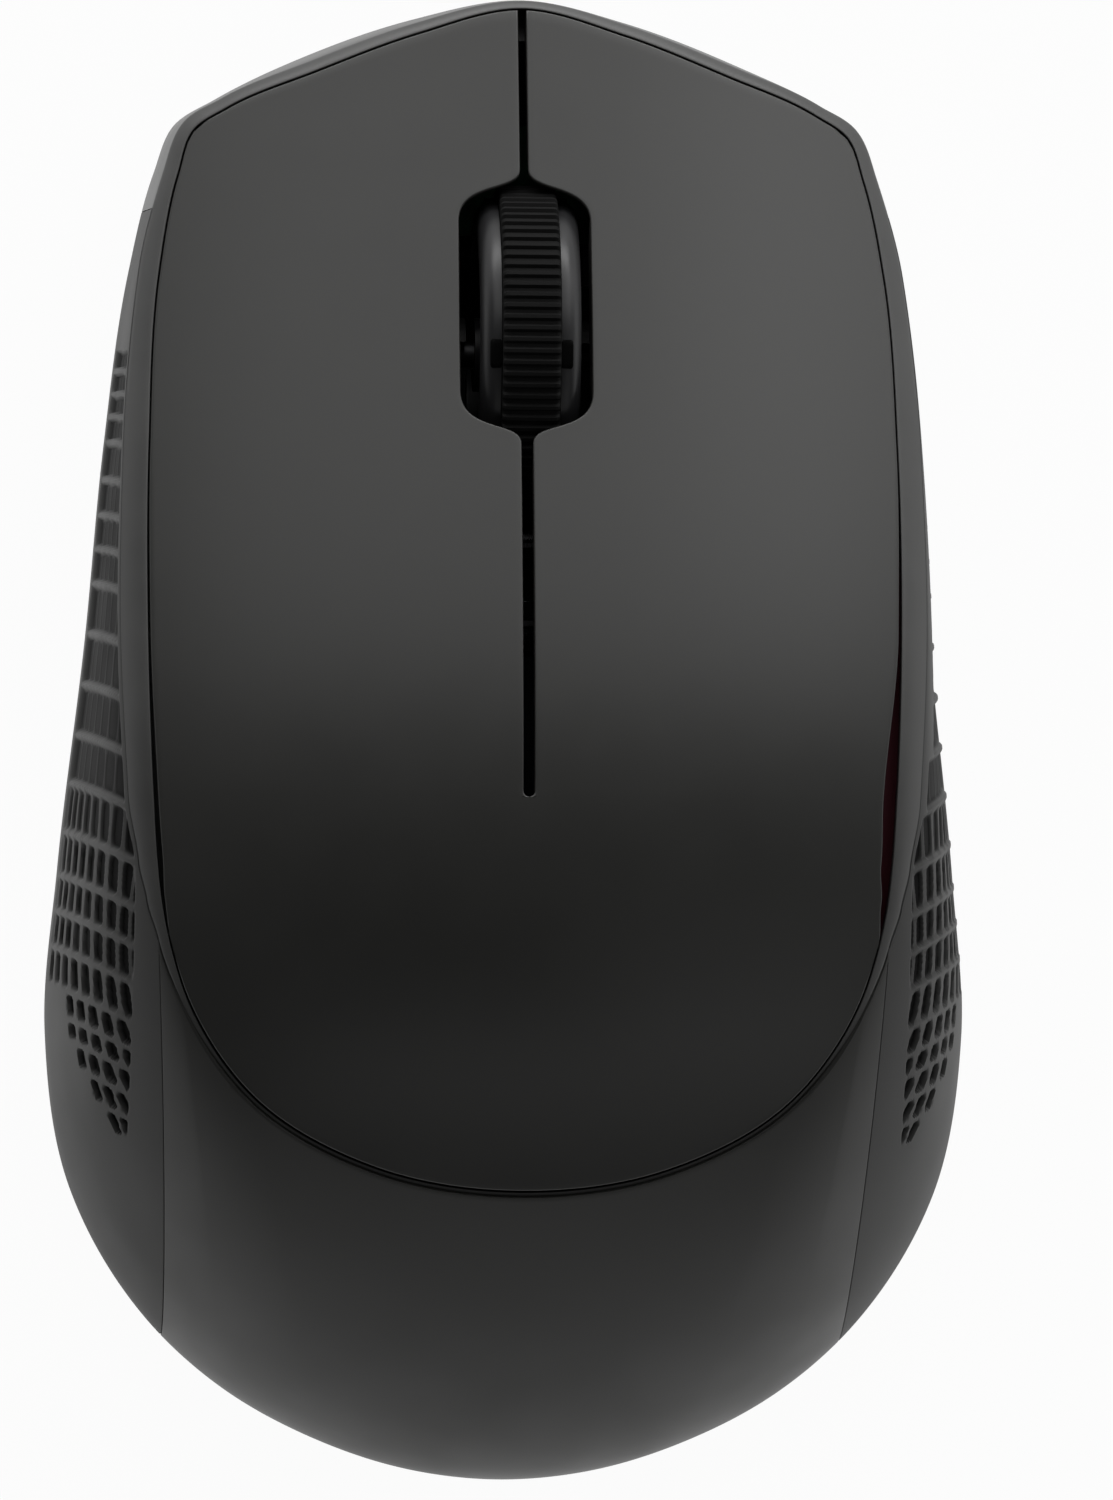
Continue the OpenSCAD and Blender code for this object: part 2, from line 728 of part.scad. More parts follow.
// Walls that hold the cell and its contacts
module battery_bay() {
    for (s = [-1, 1])
        block([s * (bay_side + bay_wall_t / 2) - bay_wall_t / 2, cell_rear + bay_short_rear, floor_top - eps],
            [s * (bay_side + bay_wall_t / 2) + bay_wall_t / 2, cell_front - bay_short_front,
                cell_z - bay_short_top]);
    rear = cell_rear - nub_l - contact_t - 3 * contact_gap;
    front = spring_end + contact_t + 2 * contact_gap;
    block([-bay_end_w / 2, rear - bay_wall_t, floor_top - eps], [bay_end_w / 2, rear, bay_rear_top]);
    block([-bay_front_w / 2, front, floor_top - eps], [bay_front_w / 2, front + bay_wall_t, bay_front_top]);
}

// Closed box over the receiver
module receiver_pocket() {
    low = [receiver_x - receiver_w / 2 - pocket_gap, receiver_rear - pocket_gap, floor_top - eps];
    high = [receiver_x + receiver_w / 2 + pocket_gap, plug_end + pocket_gap,
        receiver_z + receiver_h + pocket_gap];
    difference() {
        block(low - [pocket_wall, pocket_wall, 0], high + [pocket_wall, pocket_wall, pocket_wall]);
        block(low - [0, 0, through], high);
    }
}

// Posts either side of the wheel with the fork's bearings
module fork_posts() {
    for (s = [-1, 1]) {
        near = s * (arm_out + post_gap);
        far = near + s * post_w;
        difference() {
            block([min(near, far), fork_y - post_half, floor_top - eps],
                [max(near, far), fork_y + post_half, fork_z + post_half + eps]);
            bar_x(min(near, far) - through, max(near, far) + through, fork_y, fork_z, fork_pin_r + seat);
        }
    }
}

module base_plate() {
    color([0.16, 0.16, 0.17])
        difference() {
            union() {
                base_floor();
                battery_bay();
                receiver_pocket();
                fork_posts();
                for (p = standoffs)
                    translate([p.x, p.y, floor_top - eps])
                        cylinder(r = standoff_r, h = board_z - floor_top + eps);
            }
            for (p = standoffs)
                translate([p.x, p.y, floor_top + standoff_sole])
                    cylinder(r = board_screw_r + seat, h = board_z);
        }
}

module top_frame() {
    color([0.27, 0.27, 0.28])
        difference() {
            union() {
                ring([for (u = frame_u) frame_loop(u)]);
                for (p = bosses)
                    translate([p.x, p.y, wall_foot])
                        cylinder(r = boss_r, h = boss_h);
            }
            for (p = bosses)
                translate([p.x, p.y, wall_foot - through])
                    cylinder(r = case_screw_r + seat, h = case_screw_l + through);
        }
}

module rear_cover() {
    color([0.2, 0.2, 0.2])
        slab(cover_grid(right_seam_u + seam_u, left_seam_u - seam_u, rear_cols, 0),
            cover_grid(right_seam_u + under_u, left_seam_u - under_u, rear_cols, cover_t));
}

module right_grip() {
    color([0.14, 0.14, 0.15])
        slab(cover_grid(grip_front_u + seam_u, right_seam_u - seam_u, grip_cols, 0),
            cover_grid(grip_front_u + seam_u, right_seam_u - under_u, grip_cols, cover_t));
}

module left_grip() {
    color([0.14, 0.14, 0.15])
        slab(cover_grid(left_seam_u + seam_u, stations - grip_front_u - seam_u, grip_cols, 0),
            cover_grid(left_seam_u + under_u, stations - grip_front_u - seam_u, grip_cols, cover_t));
}

// Room for the wheel in the underside of the buttons, also when they are pressed
module wheel_room() {
    for (rise = [0, key_drop / 2, key_drop])
        translate([0, 0, rise])
            on_axle() {
                cylinder(r = wheel_r + room_gap, h = tyre_w + 2 * room_gap, center = true);
                cylinder(r = flange_r + room_gap, h = wheel_w + 2 * room_gap, center = true);
            }
}

// One button with the post that meets its switch
module button(side, post_x) {
    plan = button_grid(side);
    upper = [for (row = plan) [for (p = row) lifted(p)]];
    lower = [for (row = plan) [for (p = row) lifted(p, plate_t)]];
    post_base = plunger_top + rest_gap;
    difference() {
        slab(upper, lower, side > 0);
        wheel_room();
    }
    translate([post_x, switch_y, post_base])
        cylinder(r = button_post_r, h = crown([post_x, switch_y]) - plate_t / 2 - post_base);
}

module left_button() {
    color([0.3, 0.3, 0.31])
        button(-1, left_switch_x);
}

module right_button() {
    color([0.3, 0.3, 0.31])
        button(1, right_switch_x);
}

module palm_cover() {
    plan = palm_grid();
    color([0.3, 0.3, 0.31])
        slab([for (row = plan) [for (p = row) lifted(p)]],
            [for (row = plan) [for (p = row) lifted(p, palm_t)]]);
}

// Put a shape drawn around Z onto the wheel's axle
module on_axle() {
    translate([0, wheel_y, wheel_z])
        rotate([0, 90, 0])
            children();
}

// Lugs of the tyre that key into both rims
module lugs(grow) {
    for (k = [0:lug_n - 1])
        rotate(360 * k / lug_n)
            translate([groove_r + lug_h / 2, 0, 0])
                cube([lug_h + 2 * grow, lug_l + 2 * grow, lug_w + 2 * grow], center = true);
}

// Halves of the hub's section at one end: from the bore to the web, and over the rim into the groove
function hub_half(end, wall) = [[axle_r + seat, end], [hub_r, end], [hub_r, wall], [web_r, wall],
    [web_r, end]];
function rim_half(end, groove, way) = [[flange_r - rim_flat, end],
    [flange_r - rim_slope[0], end - way * rim_slope[1]], [flange_r, groove + way * rim_lip],
    [flange_r, groove + way * seat], [groove_r, groove + way * seat]];
function turned_list(v) = [for (i = [len(v) - 1:-1:0]) v[i]];

module wheel_hub() {
    half = wheel_w / 2;
    color([0.2, 0.2, 0.21])
        on_axle()
            difference() {
                rotate_extrude()
                    polygon(concat(hub_half(-half, -web_half), rim_half(-half, -tyre_w / 2, -1),
                        turned_list(rim_half(half, tyre_w / 2, 1)), turned_list(hub_half(half, web_half))));
                lugs(seat);
                for (k = [0:slot_n - 1])
                    rotate(360 * k / slot_n)
                        translate([slot_at, 0, 0])
                            cube(slot_size, center = true);
            }
}

module wheel_tyre() {
    steps = tyre_ribs * rib_corners;
    color([0.08, 0.08, 0.08])
        on_axle()
            difference() {
                union() {
                    linear_extrude(tyre_w, center = true)
                        polygon([for (k = [0:steps - 1])
                            (wheel_r - (k % rib_corners < rib_corners / 2 ? 0 : rib_depth))
                                * [cos(360 * k / steps), sin(360 * k / steps)]]);
                    lugs(0);
                }
                cylinder(r = groove_r + 2 * touch, h = wheel_w, center = true);
            }
}

module wheel_axle() {
    color([0.7, 0.7, 0.72])
        bar_x(-arm_out, arm_out, wheel_y, wheel_z, axle_r);
}

// Side arm of the fork with its pivot pin
module fork_arm(side) {
    near = side * arm_in;
    far = side * arm_out;
    pin = far + side * (post_gap + post_w - pin_short);
    pivot = [fork_y, fork_z];
    axle = [wheel_y, wheel_z];
    translate([min(near, far), 0, 0])
        rotate([90, 0, 90])
            linear_extrude(fork_arm_t) {
                translate(pivot)
                    circle(r = pivot_eye_r);
                translate(axle)
                    circle(r = axle_eye_r);
                polygon([pivot + [-arm_pivot.x, arm_pivot.y], axle + arm_top, axle + arm_low,
                    [tab_y + tab_half, tab_z], [tab_y - tab_half, tab_z],
                    pivot + [arm_pivot.x, -arm_pivot.y]]);
            }
    bar_x(min(near, pin), max(near, pin), fork_y, fork_z, fork_pin_r);
    block([min(near, far + side * tab_l), tab_y - tab_half, tab_z],
        [max(near, far + side * tab_l), tab_y + tab_half, tab_z + tab_t]);
}

module wheel_fork() {
    color([0.13, 0.13, 0.13])
        difference() {
            union() {
                fork_arm(-1);
                fork_arm(1);
                block([-arm_out, fork_y + bridge_low.x, fork_z + bridge_low.y],
                    [arm_out, fork_y + bridge_high.x, fork_z + bridge_high.y]);
            }
            bar_x(-arm_out - through, arm_out + through, wheel_y, wheel_z, axle_r + touch);
            block([-arm_out - through, wheel_y - snap_w / 2, wheel_z],
                [arm_out + through, wheel_y + snap_w / 2, wheel_z + wheel_r / 2]);
        }
}

module fork_spring() {
    color([0.75, 0.75, 0.77])
        translate([-arm_out - tab_l / 2 - eps, tab_y, board_top + touch])
            coil(tab_spring_r, tab_spring_r, tab_z - board_top - 2 * touch, tab_spring_turns,
                tab_spring_wire);
}

// Leaf spring whose nose clicks over the ribs as the wheel turns
module detent_leaf() {
    color([0.75, 0.75, 0.77]) {
        block([-leaf_half, fork_y - leaf_from, fork_z - leaf_below],
            [leaf_half, fork_y - leaf_to, wheel_z + leaf_above]);
        bar_x(-nose_half, nose_half, wheel_y - wheel_r - nose_gap - nose_r, wheel_z, nose_r);
    }
}

module circuit_board() {
    color([0.1, 0.32, 0.16])
        difference() {
            translate([0, 0, board_z])
                linear_extrude(board_t)
                    polygon([[-board_side, board_rear], [board_side, board_rear],
                        [board_side, board_corner.y], [board_corner.x, board_front],
                        [-board_corner.x, board_front], [-board_side, board_corner.y]]);
            block([-wheel_w / 2 - 2 * fork_gap, wheel_y - wheel_hole_l / 2, 0],
                [wheel_w / 2 + 2 * fork_gap, wheel_y + wheel_hole_l / 2, 2 * board_z]);
            for (s = [-1, 1])
                translate([s * (arm_out + post_gap + post_w / 2), fork_y, board_z])
                    cube([post_w + 2 * post_gap, 2 * post_half + 2 * post_gap, 4 * board_t], center = true);
            translate([0, sensor_y, 0])
                cylinder(r = sensor_hole_r, h = 2 * board_z);
            for (p = standoffs)
                translate([p.x, p.y, 0])
                    cylinder(r = board_screw_r + screw_gap, h = 2 * board_z);
        }
}

module sensor_chip() {
    color([0.1, 0.1, 0.1])
        difference() {
            translate([0, sensor_y, board_top + seat + sensor_h / 2])
                cube([sensor_w, sensor_l, sensor_h], center = true);
            translate([0, sensor_y, board_top])
                cylinder(r = sensor_hole_r / 2, h = sensor_h / 2);
        }
}

module sensor_lens() {
    color([0.85, 0.87, 0.9])
        translate([0, sensor_y, 0]) {
            translate([0, 0, floor_z + floor_t / 3])
                oval(lens_l, lens_w, floor_t);
            translate([0, 0, floor_top + seat + lens_flange.z / 2])
                cube(lens_flange, center = true);
            translate([0, 0, floor_top + lens_flange.z / 2])
                cylinder(r = sensor_hole_r - lens_gap, h = board_top - floor_top - lens_flange.z);
        }
}

module controller_chip() {
    color([0.08, 0.08, 0.08]) {
        translate([controller_at.x, controller_at.y, board_top + 2 * seat + controller_size.z / 2])
            cube(controller_size, center = true);
        translate([controller_at.x, controller_at.y, board_top + seat + leads_size.z / 2])
            cube(leads_size, center = true);
    }
}

module crystal_can() {
    color([0.75, 0.75, 0.76])
        translate([crystal_at.x, crystal_at.y, board_top + seat])
            oval(crystal_size.x, crystal_size.y, crystal_size.z);
}

module capacitor() {
    color([0.2, 0.24, 0.4])
        translate([capacitor_at.x, capacitor_at.y, board_top + seat])
            cylinder(r = capacitor_r, h = capacitor_h);
}

module inductor() {
    color([0.25, 0.24, 0.22])
        translate([inductor_at.x, inductor_at.y, board_top + seat]) {
            cylinder(r = inductor_core_r, h = inductor_h - inductor_rim / 2);
            for (z = [0, inductor_h - inductor_rim])
                translate([0, 0, z])
                    cylinder(r = inductor_r, h = inductor_rim);
        }
}

module click_switch(x) {
    color([0.12, 0.12, 0.12])
        difference() {
            translate([x, case_mid_y, board_top + case_h / 2 + seat])
                cube([case_w, case_l, case_h - seat], center = true);
            translate([x, switch_y, case_top - plunger_hole])
                cylinder(r = plunger_r + plunger_gap, h = plunger_hole + through);
        }
}

module click_plunger(x) {
    color([0.75, 0.2, 0.15])
        translate([x, switch_y, plunger_top - plunger_l])
            cylinder(r = plunger_r, h = plunger_l);
}

module left_switch() {
    click_switch(left_switch_x);
}

module left_plunger() {
    click_plunger(left_switch_x);
}

module right_switch() {
    click_switch(right_switch_x);
}

module right_plunger() {
    click_plunger(right_switch_x);
}

module middle_switch() {
    color([0.14, 0.14, 0.14])
        difference() {
            translate([middle_x, tab_y, board_top + middle_h / 2 + seat])
                cube([middle_w, middle_w, middle_h], center = true);
            translate([middle_x, tab_y, board_top + middle_h - middle_hole])
                cylinder(r = middle_r + plunger_gap, h = middle_hole + through);
        }
}

module middle_plunger() {
    color([0.75, 0.75, 0.72])
        translate([middle_x, tab_y, tab_z - rest_gap - middle_l])
            cylinder(r = middle_r, h = middle_l);
}

module encoder_half(side) {
    translate([side * encoder_side, encoder_y, board_top + seat]) {
        translate([0, 0, encoder_h / 2])
            cube([encoder_d, encoder_w, encoder_h], center = true);
        translate([-side * encoder_d / 2, 0, encoder_eye_z])
            sphere(r = encoder_eye_r);
    }
}

module encoder_emitter() {
    color([0.45, 0.2, 0.25])
        encoder_half(-1);
}

module encoder_receiver() {
    color([0.12, 0.12, 0.14])
        encoder_half(1);
}

module power_switch() {
    color([0.7, 0.7, 0.7])
        difference() {
            block([power_x - power_case.x / 2, power_y - power_case.y / 2, power_case_z],
                [power_x + power_case.x / 2, power_y + power_case.y / 2, board_z - seat]);
            block([power_x - power_slot.x / 2, power_y - power_slot.y / 2, power_case_z - through],
                [power_x + power_slot.x / 2, power_y + power_slot.y / 2, power_slot_top]);
        }
}

// Knob in the floor, with its flange and stem
module power_slider() {
    mid = power_y - knob_travel / 2;
    flange_z = floor_top + 2 * seat;
    flange_top = flange_z + knob_flange.z;
    color([0.25, 0.55, 0.3]) {
        block([power_x - knob_w / 2, mid - knob_l / 2, floor_z + knob_sink],
            [power_x + knob_w / 2, mid + knob_l / 2, flange_z + eps]);
        block([power_x - knob_flange.x / 2, mid - knob_flange.y / 2, flange_z],
            [power_x + knob_flange.x / 2, mid + knob_flange.y / 2, flange_top]);
        block([power_x - knob_stem.x / 2, mid - knob_stem.y / 2, flange_top - eps],
            [power_x + knob_stem.x / 2, mid + knob_stem.y / 2, knob_stem_top]);
    }
}

module battery_cell() {
    color([0.35, 0.35, 0.38])
        translate([0, cell_rear, cell_z])
            rotate([-90, 0, 0]) {
                cylinder(r = cell_r, h = cell_l);
                translate([0, 0, -nub_l])
                    cylinder(r = nub_r, h = nub_l + eps);
            }
}

module battery_spring() {
    color([0.8, 0.8, 0.8])
        translate([0, spring_end - touch, cell_z])
            rotate([90, 0, 0])
                coil(spring_foot_r, spring_tip_r, spring_end - cell_front - 2 * touch, spring_turns,
                    spring_wire);
}

// Contact plates at both ends of the cell
module battery_contact() {
    rear = cell_rear - nub_l - contact_gap;
    low = cell_z - contact_h / 2;
    color([0.8, 0.8, 0.8]) {
        block([-contact_w / 2, spring_end, low], [contact_w / 2, spring_end + contact_t, low + contact_h]);
        block([-contact_w / 2, rear - contact_t, low], [contact_w / 2, rear, cell_z + nub_r]);
    }
}

module battery_door() {
    color([0.2, 0.2, 0.21]) {
        intersection() {
            door_channel(0, -body_l);
            translate([0, 0, door_z])
                linear_extrude(door_t)
                    floor_outline(roll_in(roll_end) + floor_inset);
        }
        for (k = [0:door_ribs - 1])
            translate([-door_rib_size.x / 2, door_rib_y + k * door_rib_pitch, door_z - door_rib_size.z])
                cube(door_rib_size + [0, 0, eps]);
    }
}

module receiver_cap() {
    color([0.15, 0.15, 0.15])
        difference() {
            block([receiver_x - receiver_w / 2, receiver_rear, receiver_z],
                [receiver_x + receiver_w / 2, receiver_rear + receiver_cap_l, receiver_z + receiver_h]);
            block([receiver_x - plug_w / 2 - touch, receiver_rear + plug_in, plug_z - touch],
                [receiver_x + plug_w / 2 + touch, plug_end, plug_z + plug_h + touch]);
        }
}

module receiver_plug() {
    low = [receiver_x - plug_w / 2, receiver_rear + plug_in + seat, plug_z];
    high = [receiver_x + plug_w / 2, plug_end, plug_z + plug_h];
    color([0.8, 0.8, 0.82])
        difference() {
            block(low, high);
            block(low + [plug_t, plug_t, plug_t], high + [-plug_t, through, -plug_t]);
        }
}

module receiver_tongue() {
    color([0.9, 0.9, 0.88])
        block([receiver_x - plug_w / 2 + plug_t + seat, receiver_rear + plug_in + plug_t + 2 * seat,
                plug_z + plug_t + seat],
            [receiver_x + plug_w / 2 - plug_t - seat, plug_end - plug_t, plug_z + plug_h / 2]);
}

module front_foot() {
    color([0.1, 0.1, 0.1])
        translate([0, front_foot_y, 0])
            oval(front_foot_l, foot_w, floor_z - touch);
}

module rear_feet() {
    color([0.1, 0.1, 0.1])
        for (s = [-1, 1])
            translate([s * rear_foot_at.x, rear_foot_at.y, 0])
                rotate(s * rear_foot_turn)
                    oval(rear_foot_l, foot_w, floor_z - touch);
}

// Screw standing on its tip, head up
module screw(shank_r, shank_l, head_h) {
    cylinder(r = shank_r, h = shank_l + eps);
    translate([0, 0, shank_l])
        difference() {
            cylinder(r = head_r, h = head_h);
            translate([0, 0, head_h])
                for (a = [0, 90])
                    rotate(a)
                        cube([drive_l, drive_w, head_h], center = true);
        }
}

module case_screws() {
    color([0.6, 0.6, 0.62])
        for (p = bosses)
            translate([p.x, p.y, floor_z + head_sink + case_screw_l])
                rotate([180, 0, 0])
                    screw(case_screw_r, case_screw_l + touch, case_head_h);
}

module board_screws() {
    color([0.6, 0.6, 0.62])
        for (p = standoffs)
            translate([p.x, p.y, board_top - board_screw_l])
                screw(board_screw_r, board_screw_l + touch, board_head_h);
}

base_plate();
top_frame();
rear_cover();
left_grip();
right_grip();
left_button();
right_button();
palm_cover();
wheel_hub();
wheel_tyre();
wheel_axle();
wheel_fork();
fork_spring();
detent_leaf();
circuit_board();
sensor_chip();
sensor_lens();
controller_chip();
crystal_can();
capacitor();
inductor();
left_switch();
left_plunger();
right_switch();
right_plunger();
middle_switch();
middle_plunger();
encoder_emitter();
encoder_receiver();
power_switch();
power_slider();
battery_cell();
battery_spring();
battery_contact();
battery_door();
receiver_cap();
receiver_plug();
receiver_tongue();
front_foot();
rear_feet();
case_screws();
board_screws();
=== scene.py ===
"""Wireless mouse: the looks of its shell, buttons, wheel, grips and underside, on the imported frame."""
import json
import math

import bpy
import numpy as np
from mathutils import Matrix, Vector


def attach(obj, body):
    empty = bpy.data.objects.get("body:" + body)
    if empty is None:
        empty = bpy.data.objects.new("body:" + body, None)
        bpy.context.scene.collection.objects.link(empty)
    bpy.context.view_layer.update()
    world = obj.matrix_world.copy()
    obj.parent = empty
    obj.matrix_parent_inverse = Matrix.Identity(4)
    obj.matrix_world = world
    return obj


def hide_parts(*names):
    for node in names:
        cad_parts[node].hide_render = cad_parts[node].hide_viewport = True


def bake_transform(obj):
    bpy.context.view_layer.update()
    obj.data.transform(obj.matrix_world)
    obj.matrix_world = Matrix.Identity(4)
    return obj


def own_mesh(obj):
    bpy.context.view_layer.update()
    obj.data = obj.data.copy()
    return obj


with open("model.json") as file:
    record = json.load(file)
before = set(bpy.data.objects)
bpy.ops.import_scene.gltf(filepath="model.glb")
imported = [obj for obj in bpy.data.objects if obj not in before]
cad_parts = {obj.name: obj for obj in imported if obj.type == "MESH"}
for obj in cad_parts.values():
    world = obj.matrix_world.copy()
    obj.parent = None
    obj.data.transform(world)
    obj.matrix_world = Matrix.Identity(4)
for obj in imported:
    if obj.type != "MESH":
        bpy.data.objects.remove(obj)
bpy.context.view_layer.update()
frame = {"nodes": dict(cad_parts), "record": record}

# Lengths below are millimetres; meshes are written in metres
MM = 0.001

# Height of the hump, its place, the slope it runs down to, and how softly it turns into it
BODY_H = 38.0
HUMP_Y = -10.0
FRONT_SLOPE = 0.47
HUMP_SOFT = 20.0
# Radius of the plate from side to side
CROWN_R = 72.0
# Widest line of the sides, where they meet the floor, how far in they roll under, the angle of that
# roll, and its end as side_point counts it
WIDEST_Z = 7.0
WALL_FOOT = 2.75
UNDER_ROLL = 0.9
ROLL_TURN = math.radians(80)
ROLL_END = 1.3
# Pull of the side's section towards the plate and towards the widest line
WALL_FULL = 0.5
WALL_RISE = 0.3
# Half the slit behind and before the wheel, the slit's rear end, and half the wheel well
SLIT_REAR = 0.4
SLIT_FRONT = 0.28
SLIT_END_Y = -3.9
WELL_HALF = 4.65
# Line on which the skins of the buttons and of the palm meet
SKIN_Y = -3.95

# Right half of the plate's edge and of the body's widest line in plan, matched point by point
PLATE_HALF = np.array([
    (0, 51.7), (7.3, 49.9), (14.6, 47.1), (20.85, 44.42), (23.15, 42.85), (24.25, 39.8), (25.6, 33),
    (26.4, 20.5), (26.5, 8), (26.1, -4), (25.8, -8.6), (25.5, -11.3), (25, -13.9), (23.5, -18.6),
    (18.7, -25.4), (10.3, -30.1), (0, -31.7)])
BODY_HALF = np.array([
    (0, 52.5), (7.2, 51.12), (14.9, 48.38), (21.25, 45.25), (24.1, 43.4), (25.5, 40), (27.2, 33),
    (28.85, 20.5), (30, 7), (31.8, -9.5), (32.55, -21), (30.7, -32), (24.1, -42.45),
    (19.6, -46.25), (13.4, -49.6), (6.6, -51.8), (0, -52.5)])
# Width of the frame's strip, and how far its outer edge rolls down
STRIP_W_HALF = np.array([
    0.6, 0.75, 0.8, 0.8, 0.9, 1, 1.4, 1.75, 1.9, 1.75, 1.3, 1, 0.72, 0.45, 0.4, 0.4, 0.4])
STRIP_DROP_HALF = np.array([
    0.3, 0.35, 0.4, 0.4, 0.4, 0.45, 0.6, 0.7, 0.7, 0.6, 0.4, 0.25, 0.15, 0.06, 0.05, 0.05, 0.05])
# How much the gap inside the strip closes at the front and widens beside the hump, at the matched
# points of the right side (1) and of the left side (-1)
GAP_TIGHT = -0.025
GAP_MORE = {
    1: np.array([GAP_TIGHT] * 8 + [0.1, 0.86, 0.7, 0.36, 0, 0, 0, 0, 0]),
    -1: np.array([GAP_TIGHT] * 5 + [0, 0, 0, 0.05, 0.2, 0.26, 0.12, 0, 0, 0, 0, 0])}
# Half the gap elsewhere: the strip stands this far outside the edge, and the plate this far inside
HALF_GAP = 0.04


def both_sides(half):
    """A closed clockwise curve from its right half: the half, then its mirror image backwards."""
    return np.concatenate([half, half[-2:0:-1] * (-1, 1)])


PLATE_EDGE = both_sides(PLATE_HALF)
BODY_EDGE = both_sides(BODY_HALF)
STRIP_W = np.concatenate([STRIP_W_HALF, STRIP_W_HALF[-2:0:-1]])
STRIP_DROP = np.concatenate([STRIP_DROP_HALF, STRIP_DROP_HALF[-2:0:-1]])
PLACES = len(PLATE_EDGE)
# Places along the edge: the front corner, the front end of the grip and its rear seam
CORNER_U = 3.6
GRIP_FRONT_U = 5.4
SEAM_U = 12.0


def on_curve(points, u):
    """Cubic Hermite curve through a closed list of points; each slope weighs the two chords there."""
    u = np.asarray(u, float)
    after = np.roll(points, -1, axis=0)
    before = np.roll(points, 1, axis=0)
    chord = np.linalg.norm(after - points, axis=1)[:, None]
    last = np.roll(chord, 1, axis=0)
    slope = ((points - before) * chord / last + (after - points) * last / chord) / (last + chord)
    i = np.floor(u).astype(int) % len(points)
    k = (i + 1) % len(points)
    f = (u - np.floor(u))[..., None]
    return (points[i] * (2 * f**3 - 3 * f**2 + 1) + slope[i] * chord[i] * (f**3 - 2 * f**2 + f)
            + points[k] * (3 * f**2 - 2 * f**3) + slope[k] * chord[i] * (f**3 - f**2))


def on_list(values, u):
    """Closed list of numbers, eased from one to the next by a smoothstep."""
    u = np.asarray(u, float)
    i = np.floor(u).astype(int) % len(values)
    f = u - np.floor(u)
    s = f * f * (3 - 2 * f)
    return values[i] * (1 - s) + values[(i + 1) % len(values)] * s


def unit(v):
    """Vectors divided by their own lengths."""
    return v / np.linalg.norm(v, axis=-1, keepdims=True)


# Half the stretch of a curve, in places, over which its tangent is taken
TANGENT_STEP = 0.02


def outward(points, u):
    """Level direction out of a clockwise curve: its tangent turned a quarter to the left."""
    t = unit(on_curve(points, u + TANGENT_STEP) - on_curve(points, u - TANGENT_STEP))
    return np.stack([-t[..., 1], t[..., 0]], axis=-1)


def spine(y):
    """Height along the middle: a hyperbola before the hump, a parabola of equal curvature behind."""
    d = y - HUMP_Y
    front = FRONT_SLOPE * (np.sqrt(HUMP_SOFT**2 + d**2) - HUMP_SOFT)
    return BODY_H - np.where(d > 0, front, d**2 * FRONT_SLOPE / (2 * HUMP_SOFT))


def spine_slope(y):
    """Slope of the spine: the derivatives of the hyperbola and of the parabola."""
    d = y - HUMP_Y
    return np.where(d > 0, -FRONT_SLOPE * d / np.sqrt(HUMP_SOFT**2 + d**2), -d * FRONT_SLOPE / HUMP_SOFT)


def crown(p):
    """Height of the plate's face: the spine less a parabola from side to side."""
    return spine(p[..., 1]) - p[..., 0] ** 2 / (2 * CROWN_R)


def crown_slope(p):
    """Slopes of the plate's face along x and along y."""
    return np.stack([-p[..., 0] / CROWN_R, spine_slope(p[..., 1])], axis=-1)


def lifted(p, drop=0.0):
    """Plan points raised onto the plate's face, less a drop."""
    return np.concatenate([p, (crown(p) - drop)[..., None]], axis=-1)


def strip_point(u, e):
    """Point of the frame's strip, e outwards from the plate's edge; the drop grows with e squared."""
    part = np.maximum(e, 0) / on_list(STRIP_W, u)
    p = on_curve(PLATE_EDGE, u) + np.asarray(e)[..., None] * outward(PLATE_EDGE, u)
    return lifted(p, on_list(STRIP_DROP, u) * part**2)


def side_point(u, t):
    """Outer face below the strip: a cubic Bezier from the strip (t 0), leaving in the crown's tangent
    plane, to the widest line (t 1), then an elliptic roll underneath."""
    u, t = np.broadcast_arrays(np.asarray(u, float), np.asarray(t, float))
    w = on_list(STRIP_W, u)
    n = outward(PLATE_EDGE, u)
    q = strip_point(u, w)
    s = on_curve(BODY_EDGE, u)
    along = s - q[..., :2]
    reach = np.linalg.norm(along, axis=-1, keepdims=True)
    d = along / reach
    fall = (crown_slope(q[..., :2]) * d).sum(-1) - 2 * on_list(STRIP_DROP, u) / w * (n * d).sum(-1)
    low = np.concatenate([s, np.full(s.shape[:-1] + (1,), WIDEST_Z)], axis=-1)
    b = q + WALL_FULL * reach * np.concatenate([d, fall[..., None]], axis=-1)
    c = low + np.stack([0 * w, 0 * w, WALL_RISE * (q[..., 2] - WIDEST_Z)], axis=-1)
    k = np.minimum(t, 1)[..., None]
    upper = q * (1 - k) ** 3 + b * 3 * k * (1 - k) ** 2 + c * 3 * k**2 * (1 - k) + low * k**3
    turn = ROLL_TURN * (np.maximum(t, 1) - 1) / (ROLL_END - 1)
    under = s - outward(BODY_EDGE, u) * (UNDER_ROLL * (1 - np.cos(turn)))[..., None]
    z = WIDEST_Z - (WIDEST_Z - WALL_FOOT) * np.sin(turn) / math.sin(ROLL_TURN)
    return np.where(t[..., None] > 1, np.concatenate([under, z[..., None]], axis=-1), upper)


def grid_normals(x):
    """Unit normals of a grid of points, from the cross product of its two differences."""
    return unit(np.cross(np.gradient(x, axis=0), np.gradient(x, axis=1)))


